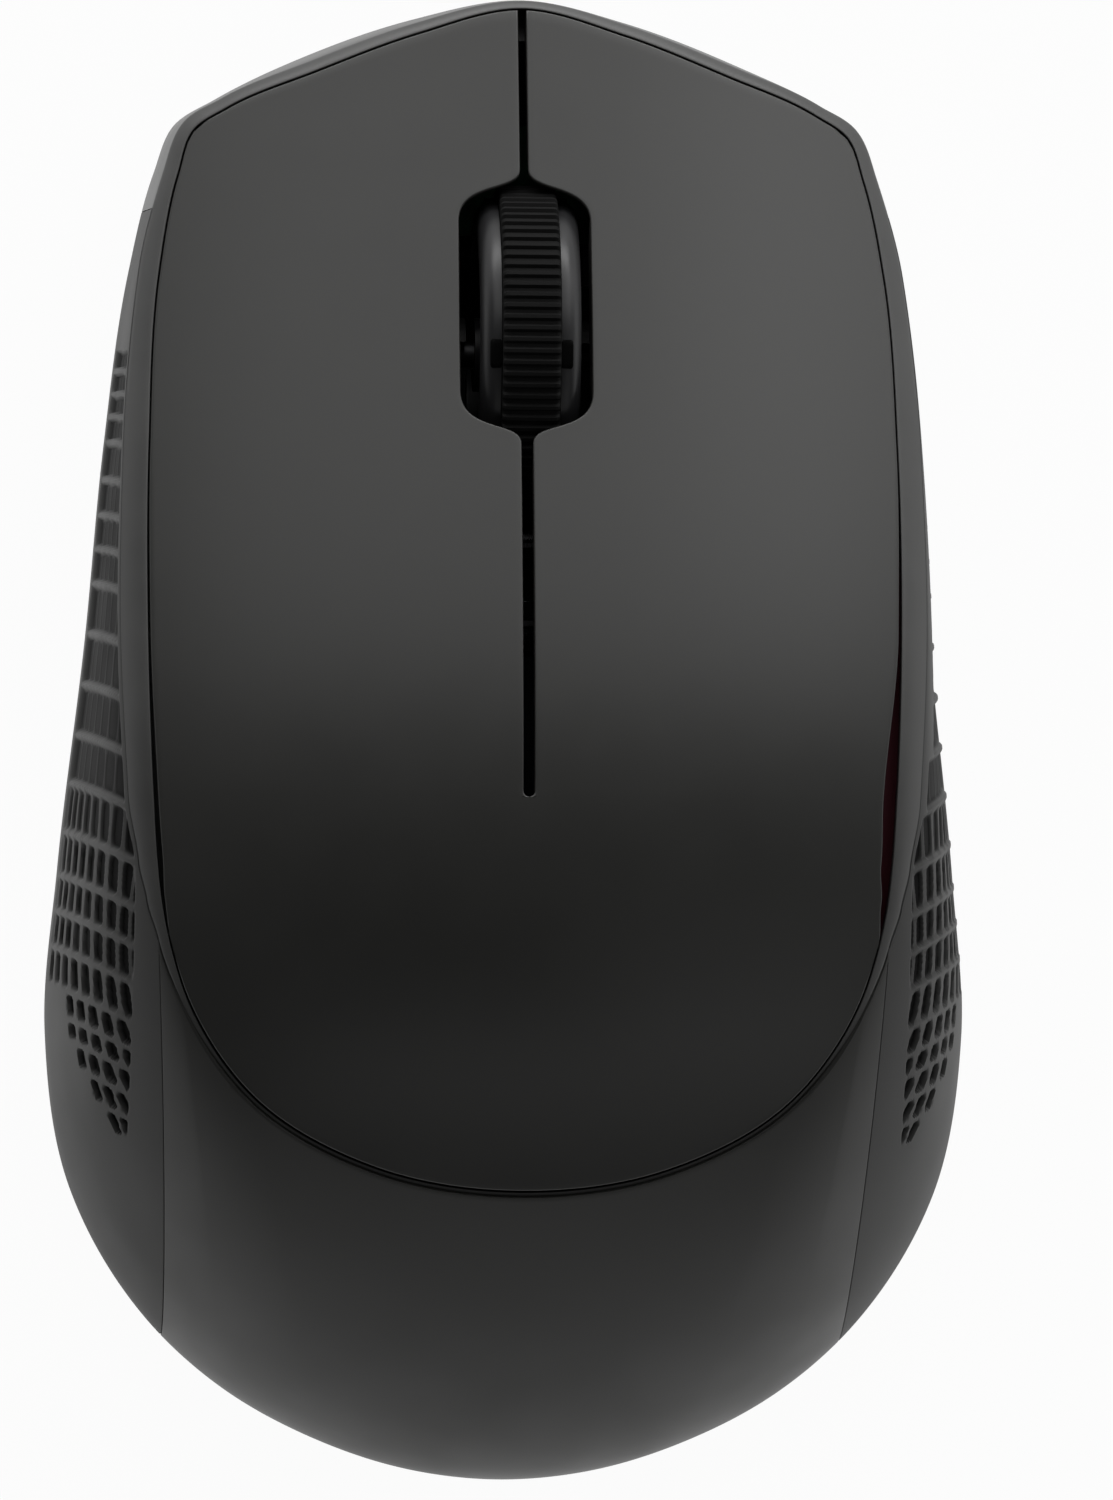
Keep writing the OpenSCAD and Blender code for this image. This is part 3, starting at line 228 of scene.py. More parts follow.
def grid_faces(rows, cols, wrap_rows=False, wrap_cols=False):
    """Quads of a grid, closed round in either direction where asked."""
    i, j = np.meshgrid(np.arange(rows if wrap_rows else rows - 1),
                       np.arange(cols if wrap_cols else cols - 1), indexing="ij")
    k, m = (i + 1) % rows, (j + 1) % cols
    return np.stack([i * cols + j, k * cols + j, k * cols + m, i * cols + m], axis=-1).reshape(-1, 4)


def smooth(a, b, x):
    """Smoothstep from 0 at a to 1 at b, whichever of them is larger."""
    f = np.clip((x - a) / (b - a), 0, 1)
    return f * f * (3 - 2 * f)


# Angle between faces from which their edge is shaded sharp
SHARP_ANGLE = math.radians(40)


def mesh_piece(name, points, faces, material):
    """An object from points in millimetres and faces, shaded smooth except over sharp angles."""
    mesh = bpy.data.meshes.new(name)
    mesh.from_pydata((points.reshape(-1, 3) * MM).tolist(), [], np.asarray(faces).tolist())
    mesh.polygons.foreach_set("use_smooth", np.ones(len(mesh.polygons), bool))
    mesh.set_sharp_from_angle(angle=SHARP_ANGLE)
    mesh.materials.append(material)
    piece = bpy.data.objects.new(name, mesh)
    bpy.context.collection.objects.link(piece)
    return piece


def stand_in(piece, slot, *nodes):
    """Let a piece stand for CAD nodes, which it hides; the slot of the record is not used."""
    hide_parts(*nodes)
    return piece


# Least divisor of a mitre, which keeps it short at sharp corners, and the steps of a border's round
MITRE_LEAST = 0.5
BORDER_STEPS = 4


def rolled_border(edge, normal, radius, depth, closed):
    """Rows of points that turn a border down: a quarter round of each point's radius, then a wall of
    its depth. Walking along the edge, the patch lies on the left, seen from outside; corners are
    mitred."""
    radius, depth = radius[:, None], depth[:, None]
    ahead = np.roll(edge, -1, axis=0) - edge
    behind = edge - np.roll(edge, 1, axis=0)
    if not closed:
        ahead[-1] = behind[-1]
        behind[0] = ahead[0]
    a, b = unit(np.cross(behind, normal)), unit(np.cross(ahead, normal))
    mitre = (a + b) / np.maximum(1 + (a * b).sum(-1), MITRE_LEAST)[:, None]
    turn = np.linspace(0, math.pi / 2, BORDER_STEPS + 1)[:, None, None]
    rows = edge - mitre * radius * (1 - np.sin(turn)) - normal * radius * (1 - np.cos(turn))
    return np.concatenate([rows, rows[-1:] - normal * depth])


def whole_border(rows, cols):
    """Numbers round the border of a grid, which lies on the left seen from where its normals point."""
    return np.concatenate([np.arange(cols), np.arange(1, rows) * cols + cols - 1,
                           (rows - 1) * cols + np.arange(cols - 2, -1, -1),
                           np.arange(rows - 2, 0, -1) * cols])[::-1]


def three_sides(rows, cols):
    """Numbers along a grid's border from its first row's start round to its first row's end."""
    return np.concatenate([np.arange(rows) * cols, (rows - 1) * cols + np.arange(1, cols),
                           np.arange(rows - 2, -1, -1) * cols + cols - 1])


def edged_patch(name, x, material, radius, depth, border, closed=True, flip=False):
    """A grid patch whose border rolls over a small radius and turns down as a wall; radius and depth
    are one for all or one for each border point."""
    rows, cols = x.shape[:2]
    normal = grid_normals(x).reshape(-1, 3) * (-1 if flip else 1)
    faces = grid_faces(rows, cols)
    radius, depth = (np.broadcast_to(v, len(border)) for v in (radius, depth))
    if flip:
        faces, border, radius, depth = faces[:, ::-1], border[::-1], radius[::-1], depth[::-1]
    points = x.reshape(-1, 3).copy()
    skirt = rolled_border(points[border], normal[border], radius, depth, closed)
    points[border] = skirt[0]
    n = len(border)
    ring = np.concatenate([border[None], rows * cols + np.arange(n * (len(skirt) - 1)).reshape(-1, n)])
    a, d = ring[:-1], ring[1:]
    b, c = np.roll(a, -1, axis=1), np.roll(d, -1, axis=1)
    wall = np.stack([a, d, c, b], axis=-1)
    if not closed:
        wall = wall[:, :-1]
    return mesh_piece(name, np.concatenate([points, skirt[1:].reshape(-1, 3)]),
                      np.concatenate([faces, wall.reshape(-1, 4)]), material)


# Finishes

# Range that most of the noise keeps to, its detail in fine grain, and the share of a drift of tone that
# shows as a drift of roughness
NOISE_LOW, NOISE_HIGH = 0.3, 0.7
FINE_DETAIL = 3.0
ROUGH_SHARE = 0.25
# Height of the moulded grain
GRAIN_HEIGHT = 0.05
# Shine of the grips' ribs, and the lower shine of the floors of their cells, which is part of their
# painted shade
RIB_SHINE, CELL_SHINE = 0.35, 0.03
# Lines in metal: how they stretch, their width, height and bump, how dark they get, and how far they
# take the roughness down and up
LINE_STRETCH = (1, 0.06, 1)
LINE_W = 0.15
LINE_HEIGHT = 0.02
LINE_BUMP = 0.05
LINE_SHADE = 0.85
LINE_SMOOTHER, LINE_ROUGHER = 0.08, 0.1
# Clear lens: its tint, how much light it lets through and bends, and the size and gloss of its marks
LENS_TINT = (0.9, 0.92, 0.95, 1)
LENS_CLEAR = 0.85
LENS_IOR = 1.49
LENS_MARK = 2.0
LENS_ROUGH = (0.04, 0.12)


def finish_nodes(name):
    """A new material: its tree, its shader and its Object coordinates."""
    material = bpy.data.materials.new(name)
    material.use_nodes = True
    tree = material.node_tree
    shader = tree.nodes["Principled BSDF"]
    place = tree.nodes.new("ShaderNodeTexCoord").outputs["Object"]
    return material, tree, shader, place


def noise(tree, place, size_mm, detail=2.0):
    """Noise whose lumps are about size_mm across."""
    node = tree.nodes.new("ShaderNodeTexNoise")
    node.inputs["Scale"].default_value = 1 / (size_mm * MM)
    node.inputs["Detail"].default_value = detail
    tree.links.new(place, node.inputs["Vector"])
    return node.outputs["Fac"]


def mapped(tree, value, low, high, least, most):
    """A value mapped from one range onto another, and held within it."""
    node = tree.nodes.new("ShaderNodeMapRange")
    for socket, number in (("From Min", low), ("From Max", high), ("To Min", least), ("To Max", most)):
        node.inputs[socket].default_value = number
    tree.links.new(value, node.inputs["Value"])
    return node.outputs["Result"]


def spread(tree, value, least, most):
    """Map noise, which keeps near its middle, onto a range."""
    return mapped(tree, value, NOISE_LOW, NOISE_HIGH, least, most)


def two_tone(tree, value, low, high):
    """Colour between two tones by a value."""
    node = tree.nodes.new("ShaderNodeMix")
    node.data_type = "RGBA"
    node.inputs["A"].default_value = (*low, 1)
    node.inputs["B"].default_value = (*high, 1)
    tree.links.new(value, node.inputs["Factor"])
    return node.outputs["Result"]


def bumped(tree, shader, height, strength, height_mm):
    """Let a height pattern tilt the shader's normals."""
    bump = tree.nodes.new("ShaderNodeBump")
    bump.inputs["Strength"].default_value = strength
    bump.inputs["Distance"].default_value = height_mm * MM
    tree.links.new(height, bump.inputs["Height"])
    tree.links.new(bump.outputs["Normal"], shader.inputs["Normal"])


def moulded(name, tone, rough, grain_mm=0.12, grain=0.06, mottle_mm=6.0, drift=0.12, level=0.5):
    """Moulded plastic or rubber: a spark-eroded grain as bump, and a slow drift of tone and gloss."""
    material, tree, shader, place = finish_nodes(name)
    tone = np.array(tone)
    slow = noise(tree, place, mottle_mm)
    colour = two_tone(tree, spread(tree, slow, 0.0, 1.0), tone * (1 - drift), tone * (1 + drift))
    tree.links.new(colour, shader.inputs["Base Color"])
    gloss = spread(tree, slow, rough - drift * ROUGH_SHARE, rough + drift * ROUGH_SHARE)
    tree.links.new(gloss, shader.inputs["Roughness"])
    bumped(tree, shader, noise(tree, place, grain_mm, FINE_DETAIL), grain, GRAIN_HEIGHT)
    shader.inputs["Specular IOR Level"].default_value = level
    return material


def celled(name, rib, floor, rough):
    """Grip rubber: pale ribs, and floors of the cells darker and duller by the cell's depth share:
    painted shade in the hollows.
    """
    material = moulded(name, rib, rough, grain_mm=0.16, grain=0.12)
    tree = material.node_tree
    shader = tree.nodes["Principled BSDF"]
    depth = tree.nodes.new("ShaderNodeAttribute")
    depth.attribute_name = "cell"
    mix = tree.nodes.new("ShaderNodeMix")
    mix.data_type = "RGBA"
    mix.inputs["B"].default_value = (*floor, 1)
    tree.links.new(shader.inputs["Base Color"].links[0].from_socket, mix.inputs["A"])
    tree.links.new(depth.outputs["Fac"], mix.inputs["Factor"])
    tree.links.new(mix.outputs["Result"], shader.inputs["Base Color"])
    shine = mapped(tree, depth.outputs["Fac"], 0, 1, RIB_SHINE, CELL_SHINE)
    tree.links.new(shine, shader.inputs["Specular IOR Level"])
    return material


def rolled_metal(name, tone, rough):
    """Plain sheet or turned metal: fine lines along one direction as tone, roughness and bump."""
    material, tree, shader, place = finish_nodes(name)
    stretch = tree.nodes.new("ShaderNodeMapping")
    stretch.inputs["Scale"].default_value = LINE_STRETCH
    tree.links.new(place, stretch.inputs["Vector"])
    lines = noise(tree, stretch.outputs["Vector"], LINE_W, FINE_DETAIL)
    tree.links.new(two_tone(tree, lines, np.array(tone) * LINE_SHADE, tone), shader.inputs["Base Color"])
    gloss = spread(tree, lines, rough - LINE_SMOOTHER, rough + LINE_ROUGHER)
    tree.links.new(gloss, shader.inputs["Roughness"])
    shader.inputs["Metallic"].default_value = 1.0
    bumped(tree, shader, lines, LINE_BUMP, LINE_HEIGHT)
    return material


def clear_lens(name):
    """Clear moulded lens with faint flow marks in its gloss."""
    material, tree, shader, place = finish_nodes(name)
    shader.inputs["Base Color"].default_value = LENS_TINT
    shader.inputs["Transmission Weight"].default_value = LENS_CLEAR
    shader.inputs["IOR"].default_value = LENS_IOR
    gloss = spread(tree, noise(tree, place, LENS_MARK), *LENS_ROUGH)
    tree.links.new(gloss, shader.inputs["Roughness"])
    return material


# One finish for each slot of the record: tone and roughness, then grain and drift where they differ
FINISH = {
    "plate_plastic": moulded(
        "satin plate", (0.023, 0.023, 0.0215), 0.33, grain_mm=0.1, grain=0.05, drift=0.04),
    "frame_plastic": moulded("satin frame", (0.048, 0.048, 0.047), 0.42),
    "cover_plastic": moulded(
        "satin tail", (0.0155, 0.0155, 0.0138), 0.46, grain_mm=0.14, grain=0.07, level=0.44),
    # Grip: the second tone is painted shade on the floors of the cells
    "grip_rubber": celled("grip rubber", (0.042, 0.042, 0.041), (0.008, 0.008, 0.008), 0.6),
    "base_plastic": moulded("grained floor", (0.02, 0.02, 0.021), 0.55, grain_mm=0.25, grain=0.25),
    "wheel_plastic": moulded(
        "gloss rim", (0.016, 0.016, 0.017), 0.33, grain_mm=0.3, grain=0.015, level=0.36),
    "tyre_rubber": moulded(
        "tyre rubber", (0.004, 0.004, 0.004), 0.7, grain_mm=0.1, grain=0.2, level=0.12),
    # Fork: near black, which stands in for the shade down in the wheel well, painted shade
    "fork_plastic": moulded("fork in painted shade", (0.008, 0.008, 0.008), 0.6, grain_mm=0.15, grain=0.1),
    "steel": rolled_metal("plain steel", (0.62, 0.62, 0.64), 0.28),
    # Axle pin: steel in a dark tone, painted shade for its place deep in the wheel well
    "black_steel": rolled_metal("pin in painted shade", (0.06, 0.06, 0.062), 0.4),
    "pale_plastic": moulded("pale plastic", (0.62, 0.61, 0.57), 0.5),
    "board": moulded(
        "green board", (0.02, 0.12, 0.04), 0.35, grain_mm=0.6, grain=0.1, mottle_mm=1.6, drift=0.35),
    "chip": moulded("chip black", (0.014, 0.014, 0.014), 0.55, grain_mm=0.08, grain=0.15),
    "lens": clear_lens("clear lens"),
    "capacitor_sleeve": moulded("blue sleeve", (0.03, 0.04, 0.12), 0.25),
    "ferrite": moulded("ferrite", (0.05, 0.046, 0.042), 0.6, grain_mm=0.2, grain=0.2),
    "plunger": moulded("red plunger", (0.4, 0.04, 0.025), 0.45),
    "emitter": moulded("dark red emitter", (0.12, 0.02, 0.035), 0.2),
    "slider_plastic": moulded("green slider", (0.03, 0.2, 0.06), 0.45),
    "cell_sleeve": moulded("cell sleeve", (0.05, 0.055, 0.07), 0.25, grain_mm=0.5, grain=0.03),
    "foot": moulded("slick foot", (0.016, 0.016, 0.017), 0.3, grain_mm=0.4, grain=0.04),
}
# Painted shade: dark red for the shade down in the right gap beside the hump
GAP_SHADE_RED = moulded("dark red gap shade", (0.032, 0.005, 0.008), 0.6, level=0.1)
# Keys of the tyre: its rubber made darker and duller, painted shade
SHADED_KEY_RUBBER = moulded("shaded key", (0.002, 0.002, 0.002), 0.8, level=0.04)
for row in frame["record"]["subparts"]:
    node = frame["nodes"][row["node"]]
    node.data.materials.clear()
    node.data.materials.append(FINISH[row["material_slot"]])


# Top plate

# Ogees between slit and well, behind and before the wheel: along y, their start, two pulls and end
OGEE_REAR = (20.9, 22.6, 21.6, 24.6)
OGEE_FRONT = (36.6, 39.4, 38.6, 40.3)
# Points along the slit's round end, the slit, an ogee, the well's side and the front slit
END_STEPS, SLIT_STEPS, OGEE_STEPS, WELL_STEPS, FRONT_STEPS = 9, 26, 26, 12, 14
# Stretches of the edge, in places, that hold the slit's front end and the buttons' roots, and the points
# along a stretch that is searched
TIP_SPAN = (0.0, 0.4)
ROOT_SPAN = (8.0, 10.0)
SEARCH_STEPS = 400
# Columns of a button, rows and columns of the palm, and the share of the palm's length between its first
# two rows
BUTTON_COLS = 56
PALM_ROWS, PALM_COLS = 48, 110
ROOT_ROW = 0.004


def plate_gap(u, side):
    """How far the plate stays inside its edge: half the gap, and how much that differs on a side."""
    more = GAP_MORE[side]
    return HALF_GAP + on_list(np.concatenate([more, more[-2:0:-1]]), u)


def plate_rim(u, side=1):
    """The plate's own rim in plan, drawn on the right, with the gap of a side."""
    return on_curve(PLATE_EDGE, u) - plate_gap(u, side)[..., None] * outward(PLATE_EDGE, u)


def place_on_rim(axis, value, low, high, side=1):
    """Places along the edge, between two others, where the rim reaches a coordinate."""
    u = np.linspace(low, high, SEARCH_STEPS)
    c = plate_rim(u, side)[:, axis]
    order = np.argsort(c)
    return np.interp(value, c[order], u[order])


def bezier(a, b, c, d, n):
    """A cubic Bezier of n points from a to d, pulled towards b and c."""
    t = np.linspace(0, 1, n)[:, None]
    a, b, c, d = map(np.array, (a, b, c, d))
    return a * (1 - t) ** 3 + b * 3 * t * (1 - t) ** 2 + c * 3 * t**2 * (1 - t) + d * t**3


def slit_and_well(tip_y):
    """Right edge of the slit and the wheel well in plan, from the bending line to the front: a round
    end, the slit, an ogee out to the well, the well, an ogee in, and the front slit."""
    a = np.linspace(0, math.pi / 2, END_STEPS)[:, None]
    end = (0, SLIT_END_Y + SLIT_REAR) + SLIT_REAR * np.concatenate([np.sin(a), -np.cos(a)], axis=1)
    rear = list(zip((SLIT_REAR, SLIT_REAR, WELL_HALF, WELL_HALF), OGEE_REAR))
    front = list(zip((WELL_HALF, WELL_HALF, SLIT_FRONT, SLIT_FRONT), OGEE_FRONT))
    return np.concatenate([
        [(0, SKIN_Y)], end, np.linspace(end[-1], rear[0], SLIT_STEPS)[1:],
        bezier(*rear, OGEE_STEPS)[1:], np.linspace(rear[-1], front[0], WELL_STEPS)[1:],
        bezier(*front, OGEE_STEPS)[1:], np.linspace(front[-1], (SLIT_FRONT, tip_y), FRONT_STEPS)[1:]])


def coons(first, last, start, end, v):
    """Patch between two rows and two columns of border points, blended along both (Coons)."""
    u = np.linspace(0, 1, len(first))[None, :, None]
    v = v[:, None, None]
    return ((1 - v) * first + v * last + (1 - u) * start[:, None] + u * end[:, None]
            - (1 - u) * (1 - v) * first[0] - u * (1 - v) * first[-1]
            - (1 - u) * v * last[0] - u * v * last[-1])


def button_plan(hand):
    """Plan of a button, drawn on the right: columns from the slit to the side, rows from the bending
    line on."""
    tip_u = place_on_rim(0, SLIT_FRONT, *TIP_SPAN)
    root_u = place_on_rim(1, SKIN_Y, *ROOT_SPAN, hand)
    inner = slit_and_well(plate_rim(tip_u)[1])
    v = (inner[:, 1] - SKIN_Y) / (inner[-1, 1] - SKIN_Y)
    front = plate_rim(np.linspace(tip_u, CORNER_U, BUTTON_COLS))
    front[0] = inner[-1]
    side_y = SKIN_Y + v * (front[-1, 1] - SKIN_Y)
    side = plate_rim(place_on_rim(1, side_y, CORNER_U, root_u, hand), hand)
    return coons(np.linspace(inner[0], side[0], BUTTON_COLS), front, inner, side, v)


def palm_plan():
    """Plan of the palm: rows from the bending line to the rear, columns from left to right."""
    v = np.concatenate([[0, ROOT_ROW], np.linspace(0, 1, PALM_ROWS)[1:]])
    sides = []
    for hand in (1, -1):
        root_u = place_on_rim(1, SKIN_Y, *ROOT_SPAN, hand)
        sides.append(plate_rim(root_u + v * (SEAM_U - root_u), hand) * (hand, 1))
    right, left = sides
    rear = plate_rim(np.linspace(PLACES - SEAM_U, SEAM_U, PALM_COLS))
    return coons(np.linspace(left[0], right[0], PALM_COLS), rear, left, right, v)


# Roll of the plate's edge, and the wall below it
PLATE_ROLL = 0.13
PLATE_WALL = 1.3
# The wall where the wheel turns close under it, half the width of that place, and its two stretches
# along y: where the thin lip sets in, is reached, is left and has gone
WELL_LIP = 0.1
LIP_HALF = 6.0
LIP_SPANS = ((19.0, 20.5, 24.0, 25.5), (35.8, 37.2, 40.5, 42.0))


def button_walls(p):
    """Wall depth at border points of a button: thin at both ends of the well, so it clears the wheel."""
    x, y = p[:, 0], p[:, 1]
    ends = sum(smooth(start, full, y) * smooth(stop, fade, y) for start, full, fade, stop in LIP_SPANS)
    near = np.where(np.abs(x) < LIP_HALF, ends, 0)
    return PLATE_WALL + (WELL_LIP - PLATE_WALL) * near


for side, key, name in ((1, "right_key", "right_button"), (-1, "left_key", "left_button")):
    button = lifted(button_plan(side))
    edge = three_sides(*button.shape[:2])
    walls = button_walls(button.reshape(-1, 3)[edge])
    piece = edged_patch(name + "_skin", button * (side, 1, 1), FINISH["plate_plastic"], PLATE_ROLL,
                        walls, edge, closed=False, flip=side > 0)
    stand_in(piece, "plate_plastic", name)
    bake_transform(piece)
palm = lifted(palm_plan())
piece = edged_patch("palm_skin", palm, FINISH["plate_plastic"], PLATE_ROLL, PLATE_WALL,
                    three_sides(*palm.shape[:2]), closed=False)
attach(stand_in(piece, "plate_plastic", "palm_cover"), "base")


# Frame and covers

# Ledge under the plate: its width and its depth; then the roll of the strip's inner edge
LEDGE_W = 2.2
LEDGE_DEPTH = 2.8
FRAME_ROLL = 0.1
# Behind the covers: how far the frame starts below the strip, and how far it drops
BEHIND_CLEAR = 0.02
BEHIND_DROP = 1.8
# How far the strip sinks at the rear, and between which places it does
SINK = 0.4
SINK_SPAN = (12.4, 13.8)
# Foot of the frame: how far it stands inside the widest line, and its height just over the floor
FOOT_IN = 1.5
FOOT_Z = 2.72
# Half the gap at the seams between the covers, in places along the edge
SEAM_GAP_U = 0.004
# Points across the frame's rolled edge, strip and wall, and along the front and the rest of the ring
ROLL_STEPS, STRIP_STEPS, WALL_STEPS = 5, 8, 30
RING_FRONT, RING_REST = 160, 420


def frame_profile(u, covered):
    """Sections of the frame at places u: ledge, inner wall, rolled edge, strip, then the front wall
    or, behind the covers, a plain drop, and the foot on the floor. At the rear the strip sinks into
    one groove with the gap."""
    w = on_list(STRIP_W, u)
    level = np.ones_like(w)
    up = np.array([0, 0, 1.0])
    turn = np.linspace(math.pi / 2, 0, ROLL_STEPS)
    sections = [strip_point(u, e * level) - LEDGE_DEPTH * up for e in (-LEDGE_W, HALF_GAP)]
    sections += [strip_point(u, (HALF_GAP + FRAME_ROLL * (1 - math.sin(a))) * level)
                 - FRAME_ROLL * (1 - math.cos(a)) * up for a in turn]
    sections += [strip_point(u, HALF_GAP + FRAME_ROLL + (w - HALF_GAP - FRAME_ROLL) * f)
                 for f in np.linspace(0, 1, STRIP_STEPS)[1:-1]]
    outer = [np.where(covered[:, None], strip_point(u, w) - (BEHIND_CLEAR + BEHIND_DROP * f) * up,
                      side_point(u, ROLL_END * f)) for f in np.linspace(0, 1, WALL_STEPS)]
    sink = SINK * smooth(*SINK_SPAN, np.minimum(u % PLACES, -u % PLACES))
    foot = lifted(on_curve(BODY_EDGE, u) - FOOT_IN * outward(BODY_EDGE, u))
    foot[:, 2] = FOOT_Z
    skin = np.stack(sections + outer, axis=1) - sink[:, None, None] * up
    return np.concatenate([skin, foot[:, None]], axis=1)


front_u = np.linspace(-GRIP_FRONT_U, GRIP_FRONT_U, RING_FRONT)
rest_u = np.linspace(GRIP_FRONT_U + SEAM_GAP_U, PLACES - GRIP_FRONT_U - SEAM_GAP_U, RING_REST)
ring_u = np.concatenate([front_u, rest_u])
ring = frame_profile(ring_u, ring_u > GRIP_FRONT_U)
piece = mesh_piece("frame_skin", ring, grid_faces(*ring.shape[:2], wrap_rows=True),
                   FINISH["frame_plastic"])
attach(stand_in(piece, "frame_plastic", "top_frame"), "base")

# Painted shade: a dark red sheet down in the right gap beside the hump, standing for the shade in that
# gap.
# Its depth, its clearance from both walls, the places it runs between, and its points across and along
GAP_SHADE_DEPTH = 1.25
GAP_SHADE_CLEAR = 0.03
GAP_SHADE_SPAN = (7.6, 11.8)
GAP_SHADE_ACROSS, GAP_SHADE_ALONG = 5, 90
gap_shade_u = np.linspace(*GAP_SHADE_SPAN, GAP_SHADE_ALONG)
across = np.linspace(0, 1, GAP_SHADE_ACROSS)[:, None]
inner = GAP_SHADE_CLEAR - plate_gap(gap_shade_u, 1)
gap_shade = strip_point(gap_shade_u, inner + across * (HALF_GAP - GAP_SHADE_CLEAR - inner)) - (0, 0, GAP_SHADE_DEPTH)
piece = mesh_piece("right_gap_shade", gap_shade, grid_faces(*gap_shade.shape[:2])[:, ::-1], GAP_SHADE_RED)
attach(piece, "base")

# Grip cells: ribs between the rows, where they reach GRIP_X from the middle, and how they lean there
ROW_RIBS = np.array([
    27.4, 25.7, 24, 22.3, 20.4, 17.6, 15, 12.5, 9.95, 6.25, 2.45, -1.3, -4.95, -8.6, -11.8, -14.45,
    -17.1, -19.8, -21.7, -23.2, -24.9, -26.6, -28.2])
ROW_LEAN = 0.5
GRIP_X = 28.0
# Cells of a row up the side from the widest line: their pitch, their number and the middle of the row
COLUMN_PITCH = np.array([3.33] * 17 + [3.25, 3.15, 2.9, 2.3, 1.8])
COLUMNS = np.array([20] * 17 + [5, 5, 4, 3, 2])
COLUMN_MID = 18.9
ROW_RIB = 0.5
# Depth of a cell, the power of its superellipse, and where on its radius the wall starts and ends
CELL_DEPTH = 0.4
CELL_POWER = 4
CELL_WALL = (1.1, 0.86)
# Share of the column pitch that a cell takes, and how much less it is at the rear
CELL_W, CELL_W_LESS = 0.85, 0.23
# Along y, where the long front cells part and where they end as dots; how far each step cuts the ribs
# between columns free
PART_Y = (-3.0, -9.0)
DOT_Y = (-16.0, -20.0)
FRONT_SHARE, PART_SHARE, DOT_SHARE = 0.1, 0.55, 0.35
# Cells stay outside this distance from the middle, and fade in over a little more
CELL_X = 27.3
CELL_X_FADE = 0.25
# How far down from the strip they start at the front of each side and at the rear, between where along
# y that changes, and over which length they fade in
CELL_TOP = {1: 2.6, -1: 0.5}
CELL_TOP_REAR = 0.5
CELL_TOP_Y = (-6.0, 2.0)
CELL_TOP_FADE = 0.35
# Heights between which the cells fade out below
CELL_LOW = (8.6, 9.6)


def grip_cells(x, top):
    """Depth share of the moulded cells at a grid of points whose columns run down the side. A cell is
    a superellipse between ribs. Rows count along a line that leans back towards the plate, columns up
    from the widest line; front rows are all but one long cell, and the rear ones shrink to dots."""
    y = x[..., 1] - ROW_LEAN * (x[..., 0] - GRIP_X)
    ribs = ROW_RIBS[::-1]
    row = np.interp(y, ribs, np.arange(len(ribs))[::-1])
    number = np.clip(np.floor(row).astype(int), 0, len(ribs) - 2)
    row_y = (ROW_RIBS[number] + ROW_RIBS[number + 1]) / 2
    pitch = COLUMN_PITCH[number]
    step = np.linalg.norm(np.diff(x, axis=1), axis=-1)
    down = np.concatenate([np.zeros((len(x), 1)), np.cumsum(step, axis=1)], axis=1)
    widest = np.argmin(np.abs(x[0, :, 2] - WIDEST_Z))
    column = (down[:, widest:widest + 1] - down - COLUMN_MID) / pitch + COLUMNS[number] / 2
    rear = smooth(*PART_Y, row_y)
    a = np.abs(2 * (row - number) - 1) / (1 - ROW_RIB / (ROW_RIBS[number] - ROW_RIBS[number + 1]))
    b = np.abs(2 * (column - np.floor(column)) - 1) / (CELL_W - CELL_W_LESS * rear)
    cell = smooth(*CELL_WALL, (a**CELL_POWER + b**CELL_POWER) ** (1 / CELL_POWER))
    slot = smooth(*CELL_WALL, a)
    share = FRONT_SHARE + PART_SHARE * rear + DOT_SHARE * smooth(*DOT_Y, row_y)
    inside = (column >= 0) & (column < COLUMNS[number]) & (row > 0) & (row < len(ribs) - 1)
    start = CELL_TOP_REAR + (top - CELL_TOP_REAR) * smooth(*CELL_TOP_Y, row_y)
    held = smooth(start, start + CELL_TOP_FADE, down) * smooth(CELL_X, CELL_X + CELL_X_FADE, x[..., 0])
    low = smooth(*CELL_LOW, x[..., 2])
    return np.where(inside, share * cell + (1 - share) * slot, 0) * held * low


# Where a cover starts on the way down from the strip, and the rows and columns of the covers
COVER_START = 0.002
GRIP_GRID = (440, 200)
TAIL_GRID = (260, 120)
# Roll of the covers' edges and the wall below it
COVER_ROLL = 0.06
COVER_WALL = 0.9
# Roll of the upper edge beside and behind the hump, where the seam along the strip is an open groove,
# and the places between which it opens and closes
GROOVE_ROLL = 0.32
GROOVE_OPENS = (8.5, 11.0)
GROOVE_CLOSES = (15.0, 13.0)


def cover_sheet(start, end, rows, cols):
    """Outer face of a cover between two places along the edge, a hair clear of the strip; also the
    places of its rows."""
    u = np.linspace(start, end, rows)
    return side_point(u[:, None], np.linspace(COVER_START, ROLL_END, cols)[None]), u


def cover_rolls(u, rows, cols):
    """Radius of each border point of a cover: the upper edge opens to a groove beside the hump."""
    rolls = np.full((rows, cols), COVER_ROLL)
    back = np.minimum(u, PLACES - u)
    rolls[:, 0] += (GROOVE_ROLL - COVER_ROLL) * smooth(*GROOVE_OPENS, back) * smooth(*GROOVE_CLOSES, back)
    return rolls.reshape(-1)


